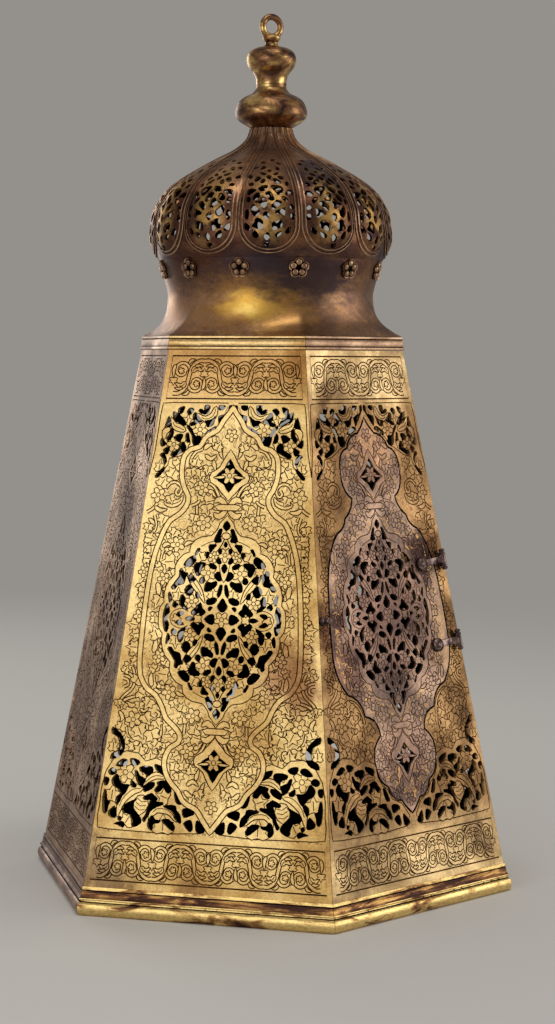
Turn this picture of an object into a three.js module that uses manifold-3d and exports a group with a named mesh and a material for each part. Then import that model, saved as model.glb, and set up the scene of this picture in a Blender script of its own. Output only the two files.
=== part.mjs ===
// Hexagonal lantern of pierced brass sheet, in millimetres, +Z up, standing on z = 0 with its door towards -Y.
// Six leaning panels stand in a mitred foot moulding and carry a mitred cornice. A raised cap, hexagonal at its
// foot and round above, ends in a twelve-lobed pierced dome, two turned knops and a suspension eye.
import * as THREE from "three";
import { mergeVertices } from "three/addons/utils/BufferGeometryUtils.js";
import Module from "manifold-3d";

const wasm = await Module();
wasm.setup();

// Body: six leaning panels on a hexagon
const SIDES = 6;
const BODY_RISE = 375; // from the foot moulding's top edge to the panels' top edge
const BODY_RADIUS_BOTTOM = 180; // corner radius of the outer faces at the foot moulding's top edge
const BODY_RADIUS_TOP = 101; // corner radius of the outer faces at the panels' top edge
const SHEET = 2;
const SEAT_GAP = 0.3; // between pieces that are soldered or rest on each other

// Foot moulding: a bead, a quirk, a band and a hollow outside, over a lip that panels and floor stand on
const FOOT_HEIGHT = 20;
const FOOT_LIP_THICKNESS = 2;
const FOOT_LIP_DEPTH = 9;
const FOOT_BEAD_HEIGHT = 9.6;
const FOOT_BEAD_BULGE = 2.6;
const FOOT_QUIRK_DEPTH = 0.7;
const FOOT_QUIRK_HEIGHT = 1.2;
const FOOT_BAND_PROUD = 3.6; // past the panels' outer faces at the moulding's top edge
const FOOT_BAND_HEIGHT = 1.4;
const FOOT_EDGE_PROUD = 0.9;

// Cornice: a fascia between two small beads
const CORNICE_HEIGHT = 9.7;
const CORNICE_PROUD = 0.9;
const CORNICE_DEPTH = 3.9;
const CORNICE_DRAW = 1.1; // how much the top bead stands further in than the bottom one

// Cap: hexagonal shoulder, round flaring drum, lobed dome and fluted neck
const CAP_WALL = 1.9;
const CAP_INSET = 0.5; // corner radius lost from the panels' top to the cap's foot
const SHOULDER_RISE = 28.7;
const DRUM_WAIST_RADIUS = 76.2;
const DRUM_RISE = 27;
const DRUM_FLARE = 6.4; // radius gained from the drum's waist to its top
const DOME_RISE = 97.5;
const DOME_SWELL = 7.6; // how far the lobes stand out past the drum's top
const NECK_RADIUS = 15.2;
const CROWN_THICKNESS = 3.5;
const LOBES = 12;
const LOBE_DEPTH = 4;
const ROSETTE_RADIUS = 7.6;
const ROSETTE_THICKNESS = 1.8;
const ROSETTE_DROP = 7.5; // from the drum's top down to a rosette's middle

// Finial
const ROD_RADIUS = 3;
const ROD_CLEARANCE = 0.35;
const ROD_TAIL = 3; // left below the nut
const WASHER_MARGIN = 2.7; // between the washer and the neck's wall
const WASHER_THICKNESS = 1.2;
const NUT_RADIUS = 7;
const NUT_HEIGHT = 5;
const LOWER_KNOP_RADIUS = 26.6;
const LOWER_KNOP_HEIGHT = 31.5;
const KNOP_WAIST_RADIUS = 11.1;
const UPPER_KNOP_RADIUS = 18.1;
const UPPER_KNOP_HEIGHT = 31;
const COLLAR_RADIUS = 6.6;
const COLLAR_HEIGHT = 5.4;
const EYE_RADIUS = 7.2; // centre line of the ring
const EYE_WIRE_RADIUS = 2.4;
const EYE_SINK = 3.8; // how deep the ring stands in its collar
const EYE_TURN = 17; // degrees that the eye's axis is turned from the door's direction

// Door and its hinges
const DOOR_GAP = 0.7;
const HINGE_INSET = 4.4; // from the panel's corner edge to the pin
const HINGE_PIN_HEIGHT = 3.4; // pin's axis above the panel's face
const HINGE_PIN_RADIUS = 1;
const HINGE_BORE_CLEARANCE = 0.3;
const HINGE_BARREL_WALL = 0.7;
const HINGE_STRAP_WIDTH = 5;
const HINGE_STRAP_THICKNESS = 1.2;
const HINGE_BOSS_RADIUS = 5;
const HINGE_BOSS_HEIGHT = 2.9;
const HINGE_BOSS_DISTANCE = 21;
const HINGE_BEAD_LENGTH = 3.5;
const EAR_THICKNESS = 2.2;
const EAR_CLEARANCE = 0.4;
const BRACKET_THICKNESS = 0.7;
const BRACKET_MARGIN = 0.6; // from the bracket's plate to the panel's corner edge
const RIVET_HOLE_RADIUS = 1;
const LATCH_RADIUS = 3.2;
const LATCH_HEIGHT = 7.6;
const DOOR_STOP_WIDTH = 10;
const DOOR_STOP_HEIGHT = 9;
const DOOR_STOP_THICKNESS = 1.2;

// Inside
const CORNER_STRIP_LEG = 4;
const CORNER_STRIP_THICKNESS = 1.2;
const PAN_RADIUS = 52;
const PAN_WALL = 1.6;
const PAN_RIM_HEIGHT = 7;
const PAN_RIM_WIDTH = 14;
const SOCKET_BORE = 11;
const SOCKET_WALL = 1.6;
const SOCKET_HEIGHT = 42;
const SOCKET_FLOOR = 9;
const SOCKET_FOOT_RADIUS = 19;
const SOCKET_FOOT_THICKNESS = 1.4;
const SOCKET_LIP = 1.8;

// Worked out from the sizes above
const HALF_STEP = Math.PI / SIDES;
const FLAT = Math.cos(HALF_STEP); // flat radius over corner radius
const BODY_TOP = FOOT_HEIGHT + BODY_RISE;
const SLOPE = ((BODY_RADIUS_BOTTOM - BODY_RADIUS_TOP) * FLAT) / BODY_RISE;
const LEAN = Math.atan(SLOPE);
const SLANT = BODY_RISE / Math.cos(LEAN);
const SHEET_ACROSS = SHEET / Math.cos(LEAN);
const EDGE_TAPER = (BODY_RADIUS_BOTTOM - BODY_RADIUS_TOP) / 2 / SLANT;
const DRUM_TOP_RADIUS = DRUM_WAIST_RADIUS + DRUM_FLARE;
const DOME_RADIUS = DRUM_TOP_RADIUS + DOME_SWELL;
const halfWidthAt = (up) => BODY_RADIUS_BOTTOM / 2 - EDGE_TAPER * up;
const flatRadiusAt = (z) => BODY_RADIUS_BOTTOM * FLAT - SLOPE * (z - FOOT_HEIGHT);

// The ornament and what is fixed on a face are drawn inside this right-hand edge, from foot to head, across
// from the face's middle line and up from the foot moulding, and then fitted to the face
const DRAWN = {
  edge: [[90, 0], [50.5, 381.19]],
  medallion: [0, 190],
  diamonds: [[0, 291], [0, 90]],
  hinges: [[0, 167], [0, 226.5]],
  rivetHoles: [[-46.7, 194.2], [-47, 185.9]],
  latch: [-66, 191],
  doorStops: [[-66, 152], [-61.5, 196]],
};

function fitted([x, y]) {
  const [[footHalf], [headHalf, head]] = DRAWN.edge;
  const up = (y / head) * SLANT;
  const drawnHalfWidth = footHalf + ((headHalf - footHalf) * y) / head;
  return [(x / drawnHalfWidth) * halfWidthAt(up), up];
}

// Finishes
const brass = (color, roughness) => new THREE.MeshStandardMaterial({ color, roughness, metalness: 1 });
const gilt = brass(0xc79a45, 0.35);
const tarnished = brass(0x8a6a55, 0.45);
const darkBrass = brass(0x5f4a3c, 0.5);
const innerBrass = brass(0x6b5436, 0.6);

// A closed geometry as a solid for cutting and joining
function solid(geometry, matrix = new THREE.Matrix4()) {
  const bare = geometry.clone();
  bare.deleteAttribute("normal");
  bare.deleteAttribute("uv");
  bare.applyMatrix4(matrix);
  const merged = mergeVertices(bare, 1e-4);
  return new wasm.Manifold(
    new wasm.Mesh({
      numProp: 3,
      vertProperties: merged.attributes.position.array,
      triVerts: new Uint32Array(merged.index.array),
    }),
  );
}

function geometryOf(made) {
  const mesh = made.getMesh();
  const geometry = new THREE.BufferGeometry();
  geometry.setAttribute("position", new THREE.BufferAttribute(mesh.vertProperties, 3));
  geometry.setIndex(new THREE.BufferAttribute(mesh.triVerts, 1));
  geometry.computeVertexNormals();
  return geometry;
}

function named(name, shape, material) {
  const geometry = shape.isBufferGeometry ? shape : geometryOf(shape);
  const mesh = new THREE.Mesh(geometry, material);
  mesh.name = name;
  return mesh;
}

const joined = (solids) => solids.reduce((all, next) => all.add(next));

function prism(shape, low, high, curveSegments = 3) {
  const geometry = new THREE.ExtrudeGeometry(shape, {
    depth: high - low,
    bevelEnabled: false,
    curveSegments,
  });
  return geometry.translate(0, 0, low);
}

const polygon = (points) => new THREE.Shape(points.map(([x, y]) => new THREE.Vector2(x, y)));

const lathe = (points, segments) =>
  new THREE.LatheGeometry(points.map(([r, z]) => new THREE.Vector2(r, z)), segments).rotateX(Math.PI / 2);

// The front side's plane: x along the side, y up the slope from the foot moulding, z outwards
const facePlane = new THREE.Matrix4()
  .makeRotationX(Math.PI / 2 - LEAN)
  .setPosition(0, -BODY_RADIUS_BOTTOM * FLAT, FOOT_HEIGHT);

// A six-sided frustum with the panels' lean, its faces pushed in from the body's outer faces by inset
function bodyFrustum(bottom, top, inset) {
  const lowRadius = (flatRadiusAt(bottom) - inset) / FLAT;
  const highRadius = (flatRadiusAt(top) - inset) / FLAT;
  const geometry = new THREE.CylinderGeometry(highRadius, lowRadius, top - bottom, SIDES);
  return solid(geometry.rotateX(Math.PI / 2).rotateZ(HALF_STEP).translate(0, 0, (top + bottom) / 2));
}

// The space of one side between the two mitre planes through the axis, half a seat gap short of each
function frontWedge(bottom, top) {
  const reach = 2 * BODY_RADIUS_BOTTOM;
  const back = SEAT_GAP / 2 / Math.sin(HALF_STEP);
  const wedge = polygon([
    [0, -back],
    [-reach * Math.sin(HALF_STEP), -back - reach * FLAT],
    [reach * Math.sin(HALF_STEP), -back - reach * FLAT],
  ]);
  return solid(prism(wedge, bottom, top));
}

const flipX = (points) => points.map(([x, y]) => [-x, y]);
const flipY = (points) => points.map(([x, y]) => [x, -y]);
const moved = (points, [dx, dy]) => points.map(([x, y]) => [x + dx, y + dy]);
const bothSides = (openings) => [...openings, ...openings.map(flipX)];

const CUT_MARGIN = 1;
const throughSheet = (shape) => solid(prism(shape, -SHEET - CUT_MARGIN, CUT_MARGIN));
const sawn = (openings) => joined(openings.map((points) => throughSheet(polygon(points.map(fitted)))));
const onFace = (made) => made.transform(facePlane.elements);

// Medallion in the middle of every face: openings of a quarter about its centre, then those on its axes
const quarterOpenings = [
  [[6.5, 54.8], [19.8, 50], [12, 45.5]],
  [[23.8, 43], [31, 36], [24, 34.5]],
  [[12, 41.5], [20.5, 38.5], [15.5, 30.5]],
  [[31, 28], [38, 17], [31, 18.5]],
  [[5, 29], [14, 26], [9, 15]],
  [[19.5, 28], [28, 25.5], [27, 14], [17, 15.5]],
  [[10, 11], [21, 11], [16, 2.5]],
];
const uprightOpenings = [
  [[0, 69.5], [2.8, 63.8], [-2.8, 63.8]],
  [[0, 50.5], [3.8, 43], [0, 32], [-3.8, 43]],
];
const sidewaysOpenings = [
  [[42, 8], [42, -8], [37, 0]],
  [[28, 4], [33.5, 0], [28, -4]],
  [[6.5, 0], [10, 2.8], [14, 0], [10, -2.8]],
];
const medallion = [
  ...bothSides([...quarterOpenings, ...quarterOpenings.map(flipY)]),
  ...uprightOpenings,
  ...uprightOpenings.map(flipY),
  ...bothSides(sidewaysOpenings),
].map((points) => moved(points, DRAWN.medallion));

// Small diamonds above and below the medallion, each left with a flower between its four openings
const diamond = [
  [[0, 13], [3.4, 6.4], [-3.4, 6.4]],
  [[0, -11.5], [3.4, -6], [-3.4, -6]],
  ...bothSides([[[4.6, 4.6], [10.5, 0], [4.6, -4.6]]]),
];
const diamonds = DRAWN.diamonds.flatMap((middle) => diamond.map((points) => moved(points, middle)));

// Spandrels: openings in the corners beside the cartouche's upper and lower points, one side of the face
const upperOpenings = [
  [[2.8, 341], [11, 333.5], [11.5, 326.5], [6.8, 331.5]],
  [[15.5, 340.5], [28, 340], [21, 332.5]],
  [[14.5, 329.5], [27, 333], [24, 320]],
  [[33.5, 340.5], [45, 339], [35.5, 329]],
  [[34, 321], [42.5, 319], [43.5, 308], [30.5, 312.5]],
  [[42.5, 327], [50, 332], [50.5, 312]],
  [[48, 302], [53.5, 303], [56.3, 291.5]],
];
const lowerOpenings = [
  [[33.5, 86.5], [46, 87.5], [42, 77.5]],
  [[50, 86.5], [60, 92], [62, 77.5], [53, 76.5]],
  [[65, 91.5], [75.5, 81.5], [65, 79.5]],
  [[22.5, 64], [33, 76], [39, 66.5]],
  [[40, 64], [56, 72], [46.5, 54.5]],
  [[59.5, 73], [77.5, 74], [76.5, 52], [59, 62]],
  [[8.5, 48], [14.5, 56.5], [17, 44.5]],
  [[22, 45], [31, 56], [46, 44.5]],
  [[51, 46.5], [59, 58.5], [69, 44.5]],
  [[75.5, 112], [66, 102], [67, 94], [75.8, 89.5], [70.5, 100]],
];

const middlePiercing = sawn([...medallion, ...diamonds]);
const cornerPiercing = sawn(bothSides([...upperOpenings, ...lowerOpenings]));

// Right half of the door's outline from its upper to its lower point, each step a curve as [control x, y,
// end x, y]: ogee point, shoulders, waist, straight sides and a pendant foot
const DOOR_CURVE_SEGMENTS = 2;
const doorTip = [0, 333];
const doorSteps = [
  [3.5, 326, 8.8, 321.5],
  [17.5, 321, 21.5, 311],
  [31, 309, 31, 294],
  [31.5, 280, 22.5, 275],
  [23.5, 267, 32, 261],
  [33.5, 254, 41.5, 251],
  [51.5, 241, 56, 220],
  [60.5, 192, 61, 165],
  [60.5, 149, 50.5, 138],
  [38.5, 134.5, 36, 121.5],
  [24, 119, 23, 107],
  [35.5, 98, 31, 83],
  [29.5, 74, 22, 71],
  [19.5, 60.5, 9.5, 59.5],
  [5, 53, 0, 49.5],
];

// The whole door outline, its points pushed outwards by grow
function doorShape(grow) {
  const path = new THREE.Path().moveTo(...fitted(doorTip));
  doorSteps.forEach(([cx, cy, x, y]) => path.quadraticCurveTo(...fitted([cx, cy]), ...fitted([x, y])));
  const half = path.getPoints(DOOR_CURVE_SEGMENTS);
  const whole = [...half, ...half.slice(1, -1).reverse().map((p) => new THREE.Vector2(-p.x, p.y))];
  return new THREE.Shape(
    whole.map((point, i) => {
      const before = whole[(i + whole.length - 1) % whole.length];
      const after = whole[(i + 1) % whole.length];
      const along = after.clone().sub(before).normalize();
      return point.clone().add(new THREE.Vector2(-along.y, along.x).multiplyScalar(grow));
    }),
  );
}

// Panels: one side of a six-sided shell with its openings sawn out
const LIP_TOP = FOOT_LIP_THICKNESS + SEAT_GAP;
const plate = bodyFrustum(LIP_TOP, BODY_TOP, 0)
  .subtract(bodyFrustum(LIP_TOP - CUT_MARGIN, BODY_TOP + CUT_MARGIN, SHEET_ACROSS))
  .intersect(frontWedge(LIP_TOP - CUT_MARGIN, BODY_TOP + CUT_MARGIN));
const panelSolid = plate.subtract(onFace(middlePiercing.add(cornerPiercing)));
const doorPanelSolid = plate.subtract(onFace(cornerPiercing.add(throughSheet(doorShape(DOOR_GAP)))));

// Door leaf, pierced like the panels' middle, with the two rivet holes that its hasp left
const rivetHoles = DRAWN.rivetHoles.map((place) => {
  const [x, y] = fitted(place);
  const hole = new THREE.CylinderGeometry(RIVET_HOLE_RADIUS, RIVET_HOLE_RADIUS, 2 * (SHEET + CUT_MARGIN), 6);
  return solid(hole.rotateX(Math.PI / 2).translate(x, y, -SHEET));
});
const leafSolid = solid(prism(doorShape(0), -SHEET, 0)).subtract(middlePiercing).subtract(joined(rivetHoles));

// A moulding's profile, x outwards from the side's flat radius and y up, swept along the front side and mitred
function mouldingSolid(profile, flatRadius) {
  const length = 2 * BODY_RADIUS_BOTTOM;
  const place = new THREE.Matrix4()
    .makeBasis(new THREE.Vector3(0, -1, 0), new THREE.Vector3(0, 0, 1), new THREE.Vector3(-1, 0, 0))
    .setPosition(length / 2, -flatRadius, 0);
  const heights = profile.map(([, z]) => z);
  return solid(prism(polygon(profile), 0, length), place).intersect(
    frontWedge(Math.min(...heights) - CUT_MARGIN, Math.max(...heights) + CUT_MARGIN),
  );
}

function footProfile() {
  const beadSteps = 5;
  const beadSweep = THREE.MathUtils.degToRad(165); // from straight down, round the front
  const beadCentre = FOOT_BAND_PROUD - FOOT_QUIRK_DEPTH;
  const bead = [];
  for (let i = 0; i <= beadSteps; i += 1) {
    const angle = -Math.PI / 2 + (i * beadSweep) / beadSteps;
    bead.push([
      beadCentre + FOOT_BEAD_BULGE * Math.cos(angle),
      (FOOT_BEAD_HEIGHT / 2) * (1 + Math.sin(angle)),
    ]);
  }
  const bandBottom = FOOT_BEAD_HEIGHT + FOOT_QUIRK_HEIGHT;
  const bandTop = bandBottom + FOOT_BAND_HEIGHT;
  const hollowMiddle = (bandTop + FOOT_HEIGHT) / 2 - FOOT_EDGE_PROUD;
  const seatAt = (z) => SLOPE * (FOOT_HEIGHT - z) + SEAT_GAP / Math.cos(LEAN);
  return [
    [-FOOT_LIP_DEPTH, 0],
    ...bead,
    [beadCentre, (FOOT_BEAD_HEIGHT + bandBottom) / 2],
    [FOOT_BAND_PROUD, bandBottom],
    [FOOT_BAND_PROUD, bandTop],
    [(FOOT_BAND_PROUD + FOOT_EDGE_PROUD) / 2 - SEAT_GAP, hollowMiddle],
    [FOOT_EDGE_PROUD, FOOT_HEIGHT],
    [seatAt(FOOT_HEIGHT), FOOT_HEIGHT],
    [seatAt(FOOT_LIP_THICKNESS), FOOT_LIP_THICKNESS],
    [-FOOT_LIP_DEPTH, FOOT_LIP_THICKNESS],
  ];
}

// Cornice profile: how far in from its proudest edge, and how far up as a share of its height
const CORNICE_BOTTOM = BODY_TOP + SEAT_GAP;
const CORNICE_TOP = CORNICE_BOTTOM + CORNICE_HEIGHT;
const corniceSteps = [
  [CORNICE_DEPTH, 0],
  [0.4, 0],
  [0, 0.07],
  [0, 0.165],
  [0.8, 0.24],
  [0.5, 0.28],
  [0.9, 0.72],
  [1.5, 0.77],
  [CORNICE_DRAW, 0.835],
  [CORNICE_DRAW, 0.95],
  [CORNICE_DRAW + 0.2, 1],
  [CORNICE_DEPTH, 1],
];
const corniceProfile = corniceSteps.map(([inwards, up]) => [
  CORNICE_PROUD - inwards,
  CORNICE_BOTTOM + up * CORNICE_HEIGHT,
]);

const footSolid = mouldingSolid(footProfile(), flatRadiusAt(FOOT_HEIGHT));
const corniceSolid = mouldingSolid(corniceProfile, flatRadiusAt(BODY_TOP));

// Corner strips: angle strips inside the corners that hold the panels together
const FLOOR_TOP = LIP_TOP + SHEET;
const STRIP_GAP = SHEET_ACROSS + SEAT_GAP;
const stripBottom = FLOOR_TOP + 2 * SEAT_GAP;
const stripRing = bodyFrustum(stripBottom, BODY_TOP, STRIP_GAP).subtract(
  bodyFrustum(stripBottom - CUT_MARGIN, BODY_TOP + CUT_MARGIN, STRIP_GAP + CORNER_STRIP_THICKNESS),
);
const stripHalfWidth = CORNER_STRIP_LEG * FLAT;
const cornerBar = polygon([
  [-stripHalfWidth, 0],
  [-stripHalfWidth, -2 * BODY_RADIUS_BOTTOM],
  [stripHalfWidth, -2 * BODY_RADIUS_BOTTOM],
  [stripHalfWidth, 0],
]);
const stripSolid = stripRing.intersect(
  solid(prism(cornerBar, 0, BODY_TOP + CUT_MARGIN)).rotate([0, 0, 180 / SIDES]),
);

// Cap rings from the hexagonal foot to the neck, as height, radius at the corners, radius at the flats and how
// far the valleys between the lobes lie in from the crowns
const CAP_BOTTOM = CORNICE_TOP + SEAT_GAP;
const WAIST_HEIGHT = CAP_BOTTOM + SHOULDER_RISE;
const DRUM_TOP_HEIGHT = WAIST_HEIGHT + DRUM_RISE;
const CAP_TOP = DRUM_TOP_HEIGHT + DOME_RISE;
const capCorner = BODY_RADIUS_TOP - CAP_INSET;

function shoulderRing(rise, cornerShare, flatShare) {
  const corner = DRUM_WAIST_RADIUS + (capCorner - DRUM_WAIST_RADIUS) * cornerShare;
  const flat = DRUM_WAIST_RADIUS + (capCorner * FLAT - DRUM_WAIST_RADIUS) * flatShare;
  return [CAP_BOTTOM + SHOULDER_RISE * rise, corner, flat, 0];
}

function domeRing(rise, radiusShare, depthShare) {
  const radius = NECK_RADIUS + (DOME_RADIUS - NECK_RADIUS) * radiusShare;
  return [DRUM_TOP_HEIGHT + DOME_RISE * rise, radius, radius, LOBE_DEPTH * depthShare];
}

const outerRings = [
  shoulderRing(0, 1, 1),
  shoulderRing(0.17, 0.63, 0.59),
  shoulderRing(0.47, 0.24, 0.19),
  [WAIST_HEIGHT, DRUM_WAIST_RADIUS, DRUM_WAIST_RADIUS, 0],
  [DRUM_TOP_HEIGHT, DRUM_TOP_RADIUS, DRUM_TOP_RADIUS, 0],
  domeRing(0.06, 0.945, 0.5),
  domeRing(0.175, 1, 1),
  domeRing(0.36, 0.97, 1),
  domeRing(0.51, 0.86, 1),
  domeRing(0.635, 0.66, 0.9),
  domeRing(0.765, 0.35, 0.65),
  domeRing(0.87, 0.1, 0.4),
  domeRing(1, 0, 0.25),
];

// A closed loft through rings: columns round the axis, capped flat at both ends
function loft(rings, columns) {
  const positions = [];
  rings.forEach(([z, corner, flat, depth]) => {
    const hexness = (1 - flat / corner) / (1 - FLAT);
    for (let i = 0; i < columns; i += 1) {
      const angle = (i / columns) * 2 * Math.PI;
      const fromFlat = ((angle + 2 * HALF_STEP) % (2 * HALF_STEP)) - HALF_STEP;
      const straight = (corner * FLAT) / Math.cos(fromFlat);
      const valley = depth * (1 - Math.abs(Math.sin((LOBES * angle) / 2)));
      const radius = corner * (1 - hexness) + straight * hexness - valley;
      positions.push(radius * Math.cos(angle), radius * Math.sin(angle), z);
    }
  });
  const index = [];
  const top = rings.length - 1;
  for (let i = 0; i < columns; i += 1) {
    const next = (i + 1) % columns;
    for (let ring = 0; ring < top; ring += 1) {
      const a = ring * columns + i;
      const b = ring * columns + next;
      index.push(a, b, b + columns, a, b + columns, a + columns);
    }
    if (i > 0 && i < columns - 1) {
      index.push(0, i + 1, i);
      index.push(top * columns, top * columns + i, top * columns + i + 1);
    }
  }
  const geometry = new THREE.BufferGeometry();
  geometry.setAttribute("position", new THREE.Float32BufferAttribute(positions, 3));
  geometry.setIndex(index);
  return geometry;
}

// The hollow lies a wall's thickness inside the outer rings, and stops under the neck's crown
const NECK_HOLLOW_RADIUS = NECK_RADIUS - CAP_WALL;

function hollowRings() {
  const below = [CAP_BOTTOM - CUT_MARGIN, ...outerRings[0].slice(1)];
  const followed = [below, ...outerRings.slice(2, 5), ...outerRings.slice(6, -1)];
  const rings = followed.map(([z, corner, flat, depth], i, all) => {
    const before = all[Math.max(i - 1, 0)];
    const after = all[Math.min(i + 1, all.length - 1)];
    const steepness = (after[2] - before[2]) / (after[0] - before[0]);
    const share = 1 - (CAP_WALL * Math.hypot(1, steepness)) / flat;
    return [z, corner * share, flat * share, depth];
  });
  return [...rings, [CAP_TOP - CROWN_THICKNESS, NECK_HOLLOW_RADIUS, NECK_HOLLOW_RADIUS, 0]];
}

// Openings of one lobe, drawn across and up the plane of its chord, from the lobe's foot to its top
const LOBE_DRAWN_WIDTH = 47;
const LOBE_DRAWN_LENGTH = 93.5;
const LOBE_CUT_REACH = DOME_RADIUS / 3.5;
const lobeSideOpenings = [
  [[1.8, 9], [9.5, 14], [3.4, 21.5]],
  [[5.2, 23.5], [10.8, 19], [8.6, 33.5]],
];
const lobeMiddleOpening = [[0, 25], [5, 36], [0, 54], [-5, 36]];

function lobeCutter() {
  const lowRadius = DOME_RADIUS - LOBE_DEPTH / 2;
  const lowHeight = DRUM_TOP_HEIGHT + 0.07 * DOME_RISE;
  const highRadius = 2 * NECK_RADIUS;
  const highHeight = DRUM_TOP_HEIGHT + 0.82 * DOME_RISE;
  const lean = Math.atan2(lowRadius - highRadius, highHeight - lowHeight);
  const across = (DOME_RADIUS * 2 * Math.PI) / LOBES / LOBE_DRAWN_WIDTH;
  const up = Math.hypot(lowRadius - highRadius, highHeight - lowHeight) / LOBE_DRAWN_LENGTH;
  const plane = new THREE.Matrix4().makeRotationX(Math.PI / 2 - lean).setPosition(0, -lowRadius, lowHeight);
  const shapes = [...bothSides(lobeSideOpenings), lobeMiddleOpening].map((points) =>
    polygon(points.map(([x, y]) => [x * across, y * up])),
  );
  return joined(shapes.map((shape) => solid(prism(shape, -LOBE_CUT_REACH, LOBE_CUT_REACH), plane)));
}

const CAP_COLUMNS = 48;
const HOLLOW_COLUMNS = 24;
const LOBE_STEP = 360 / LOBES;
const rodBore = ROD_RADIUS + ROD_CLEARANCE;

function capSolid() {
  const bore = new THREE.CylinderGeometry(rodBore, rodBore, 4 * CROWN_THICKNESS, 12);
  const lobe = lobeCutter();
  let cap = solid(loft(outerRings, CAP_COLUMNS))
    .subtract(solid(loft(hollowRings(), HOLLOW_COLUMNS)))
    .subtract(solid(bore.rotateX(Math.PI / 2).translate(0, 0, CAP_TOP)));
  for (let i = 0; i < LOBES; i += 1) cap = cap.subtract(lobe.rotate([0, 0, (i + 0.5) * LOBE_STEP]));
  return cap;
}

// Rosette: six petals round a bead, soldered flat on the flaring drum under each valley
const PETALS = 6;
const PETAL_NOTCH = 0.8;
const drumLean = Math.atan(DRUM_FLARE / DRUM_RISE);
const rosetteHeight = DRUM_TOP_HEIGHT - ROSETTE_DROP;
const rosetteSeatRadius =
  DRUM_TOP_RADIUS - ROSETTE_DROP * Math.tan(drumLean) + SEAT_GAP / Math.cos(drumLean);

function rosetteSolid() {
  const outline = [];
  for (let i = 0; i < 2 * PETALS; i += 1) {
    const angle = Math.PI / 2 + (i * Math.PI) / PETALS;
    const reach = i % 2 ? ROSETTE_RADIUS * PETAL_NOTCH : ROSETTE_RADIUS;
    outline.push([reach * Math.cos(angle), reach * Math.sin(angle)]);
  }
  const beadRadius = 0.35 * ROSETTE_RADIUS;
  const bead = lathe(
    [
      [0, ROSETTE_THICKNESS / 2],
      [beadRadius, ROSETTE_THICKNESS / 2],
      [0.8 * beadRadius, 1.4 * ROSETTE_THICKNESS],
      [0, 1.65 * ROSETTE_THICKNESS],
    ],
    5,
  );
  return solid(prism(polygon(outline), 0, ROSETTE_THICKNESS)).add(solid(bead));
}

// A knop turned on the lathe with a bore for the rod: its outline as shares of its radius and of its height
// between a bottom and a top radius
function knop(radius, height, bottomRadius, topRadius, shares, segments) {
  const outline = shares.map(([across, up]) => [across * radius, up * height]);
  const bore = [[rodBore, height], [rodBore, 0]];
  return lathe([[rodBore, 0], [bottomRadius, 0], ...outline, [topRadius, height], ...bore], segments);
}
const lowerKnopShares = [
  [0.86, 0.145], [0.975, 0.25], [1, 0.335], [0.985, 0.45], [0.9, 0.61], [0.765, 0.71], [0.54, 0.805],
  [0.435, 0.91],
];
const upperKnopShares = [
  [0.64, 0.15], [0.73, 0.265], [0.915, 0.4], [1, 0.535], [1, 0.645], [0.905, 0.77], [0.66, 0.86],
  [0.31, 0.915],
];
const WAIST = KNOP_WAIST_RADIUS;
const STEM = 1.4 * rodBore;
const lowerKnop = knop(LOWER_KNOP_RADIUS, LOWER_KNOP_HEIGHT, NECK_RADIUS, WAIST, lowerKnopShares, 16);
const upperKnop = knop(UPPER_KNOP_RADIUS, UPPER_KNOP_HEIGHT, WAIST, STEM, upperKnopShares, 14);

// Heights up the rod
const LOWER_KNOP_SEAT = CAP_TOP + SEAT_GAP;
const UPPER_KNOP_SEAT = LOWER_KNOP_SEAT + LOWER_KNOP_HEIGHT + SEAT_GAP;
const COLLAR_SEAT = UPPER_KNOP_SEAT + UPPER_KNOP_HEIGHT + SEAT_GAP;
const WASHER_BOTTOM = CAP_TOP - CROWN_THICKNESS - SEAT_GAP - WASHER_THICKNESS;
const NUT_BOTTOM = WASHER_BOTTOM - SEAT_GAP - NUT_HEIGHT;
const ROD_END = NUT_BOTTOM - ROD_TAIL;

// Suspension eye: ring, collar and the rod below it, in one piece
function eyeSolid() {
  const collar = [
    [0, ROD_END],
    [ROD_RADIUS, ROD_END],
    [ROD_RADIUS, COLLAR_SEAT],
    [0.8 * COLLAR_RADIUS, COLLAR_SEAT],
    [COLLAR_RADIUS, COLLAR_SEAT + 0.3 * COLLAR_HEIGHT],
    [COLLAR_RADIUS, COLLAR_SEAT + 0.67 * COLLAR_HEIGHT],
    [0.64 * COLLAR_RADIUS, COLLAR_SEAT + COLLAR_HEIGHT],
    [0, COLLAR_SEAT + 1.1 * COLLAR_HEIGHT],
  ];
  const ring = new THREE.TorusGeometry(EYE_RADIUS, EYE_WIRE_RADIUS, 7, 16)
    .rotateX(Math.PI / 2)
    .rotateZ(-THREE.MathUtils.degToRad(EYE_TURN))
    .translate(0, 0, COLLAR_SEAT + COLLAR_HEIGHT - EYE_SINK + EYE_WIRE_RADIUS + EYE_RADIUS);
  return solid(lathe(collar, 9)).add(solid(ring));
}

function washerSolid() {
  const radius = NECK_HOLLOW_RADIUS - WASHER_MARGIN;
  return lathe(
    [[rodBore, 0], [radius, 0], [radius, WASHER_THICKNESS], [rodBore, WASHER_THICKNESS], [rodBore, 0]],
    14,
  );
}

// Six-sided nut with a round bore
function nutSolid() {
  const corners = [];
  for (let i = 0; i < 6; i += 1) {
    const angle = (i * Math.PI) / 3;
    corners.push([NUT_RADIUS * Math.cos(angle), NUT_RADIUS * Math.sin(angle)]);
  }
  const shape = polygon(corners);
  shape.holes.push(new THREE.Path().absarc(0, 0, rodBore, 0, 2 * Math.PI, true));
  return prism(shape, 0, NUT_HEIGHT, 10);
}

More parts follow.
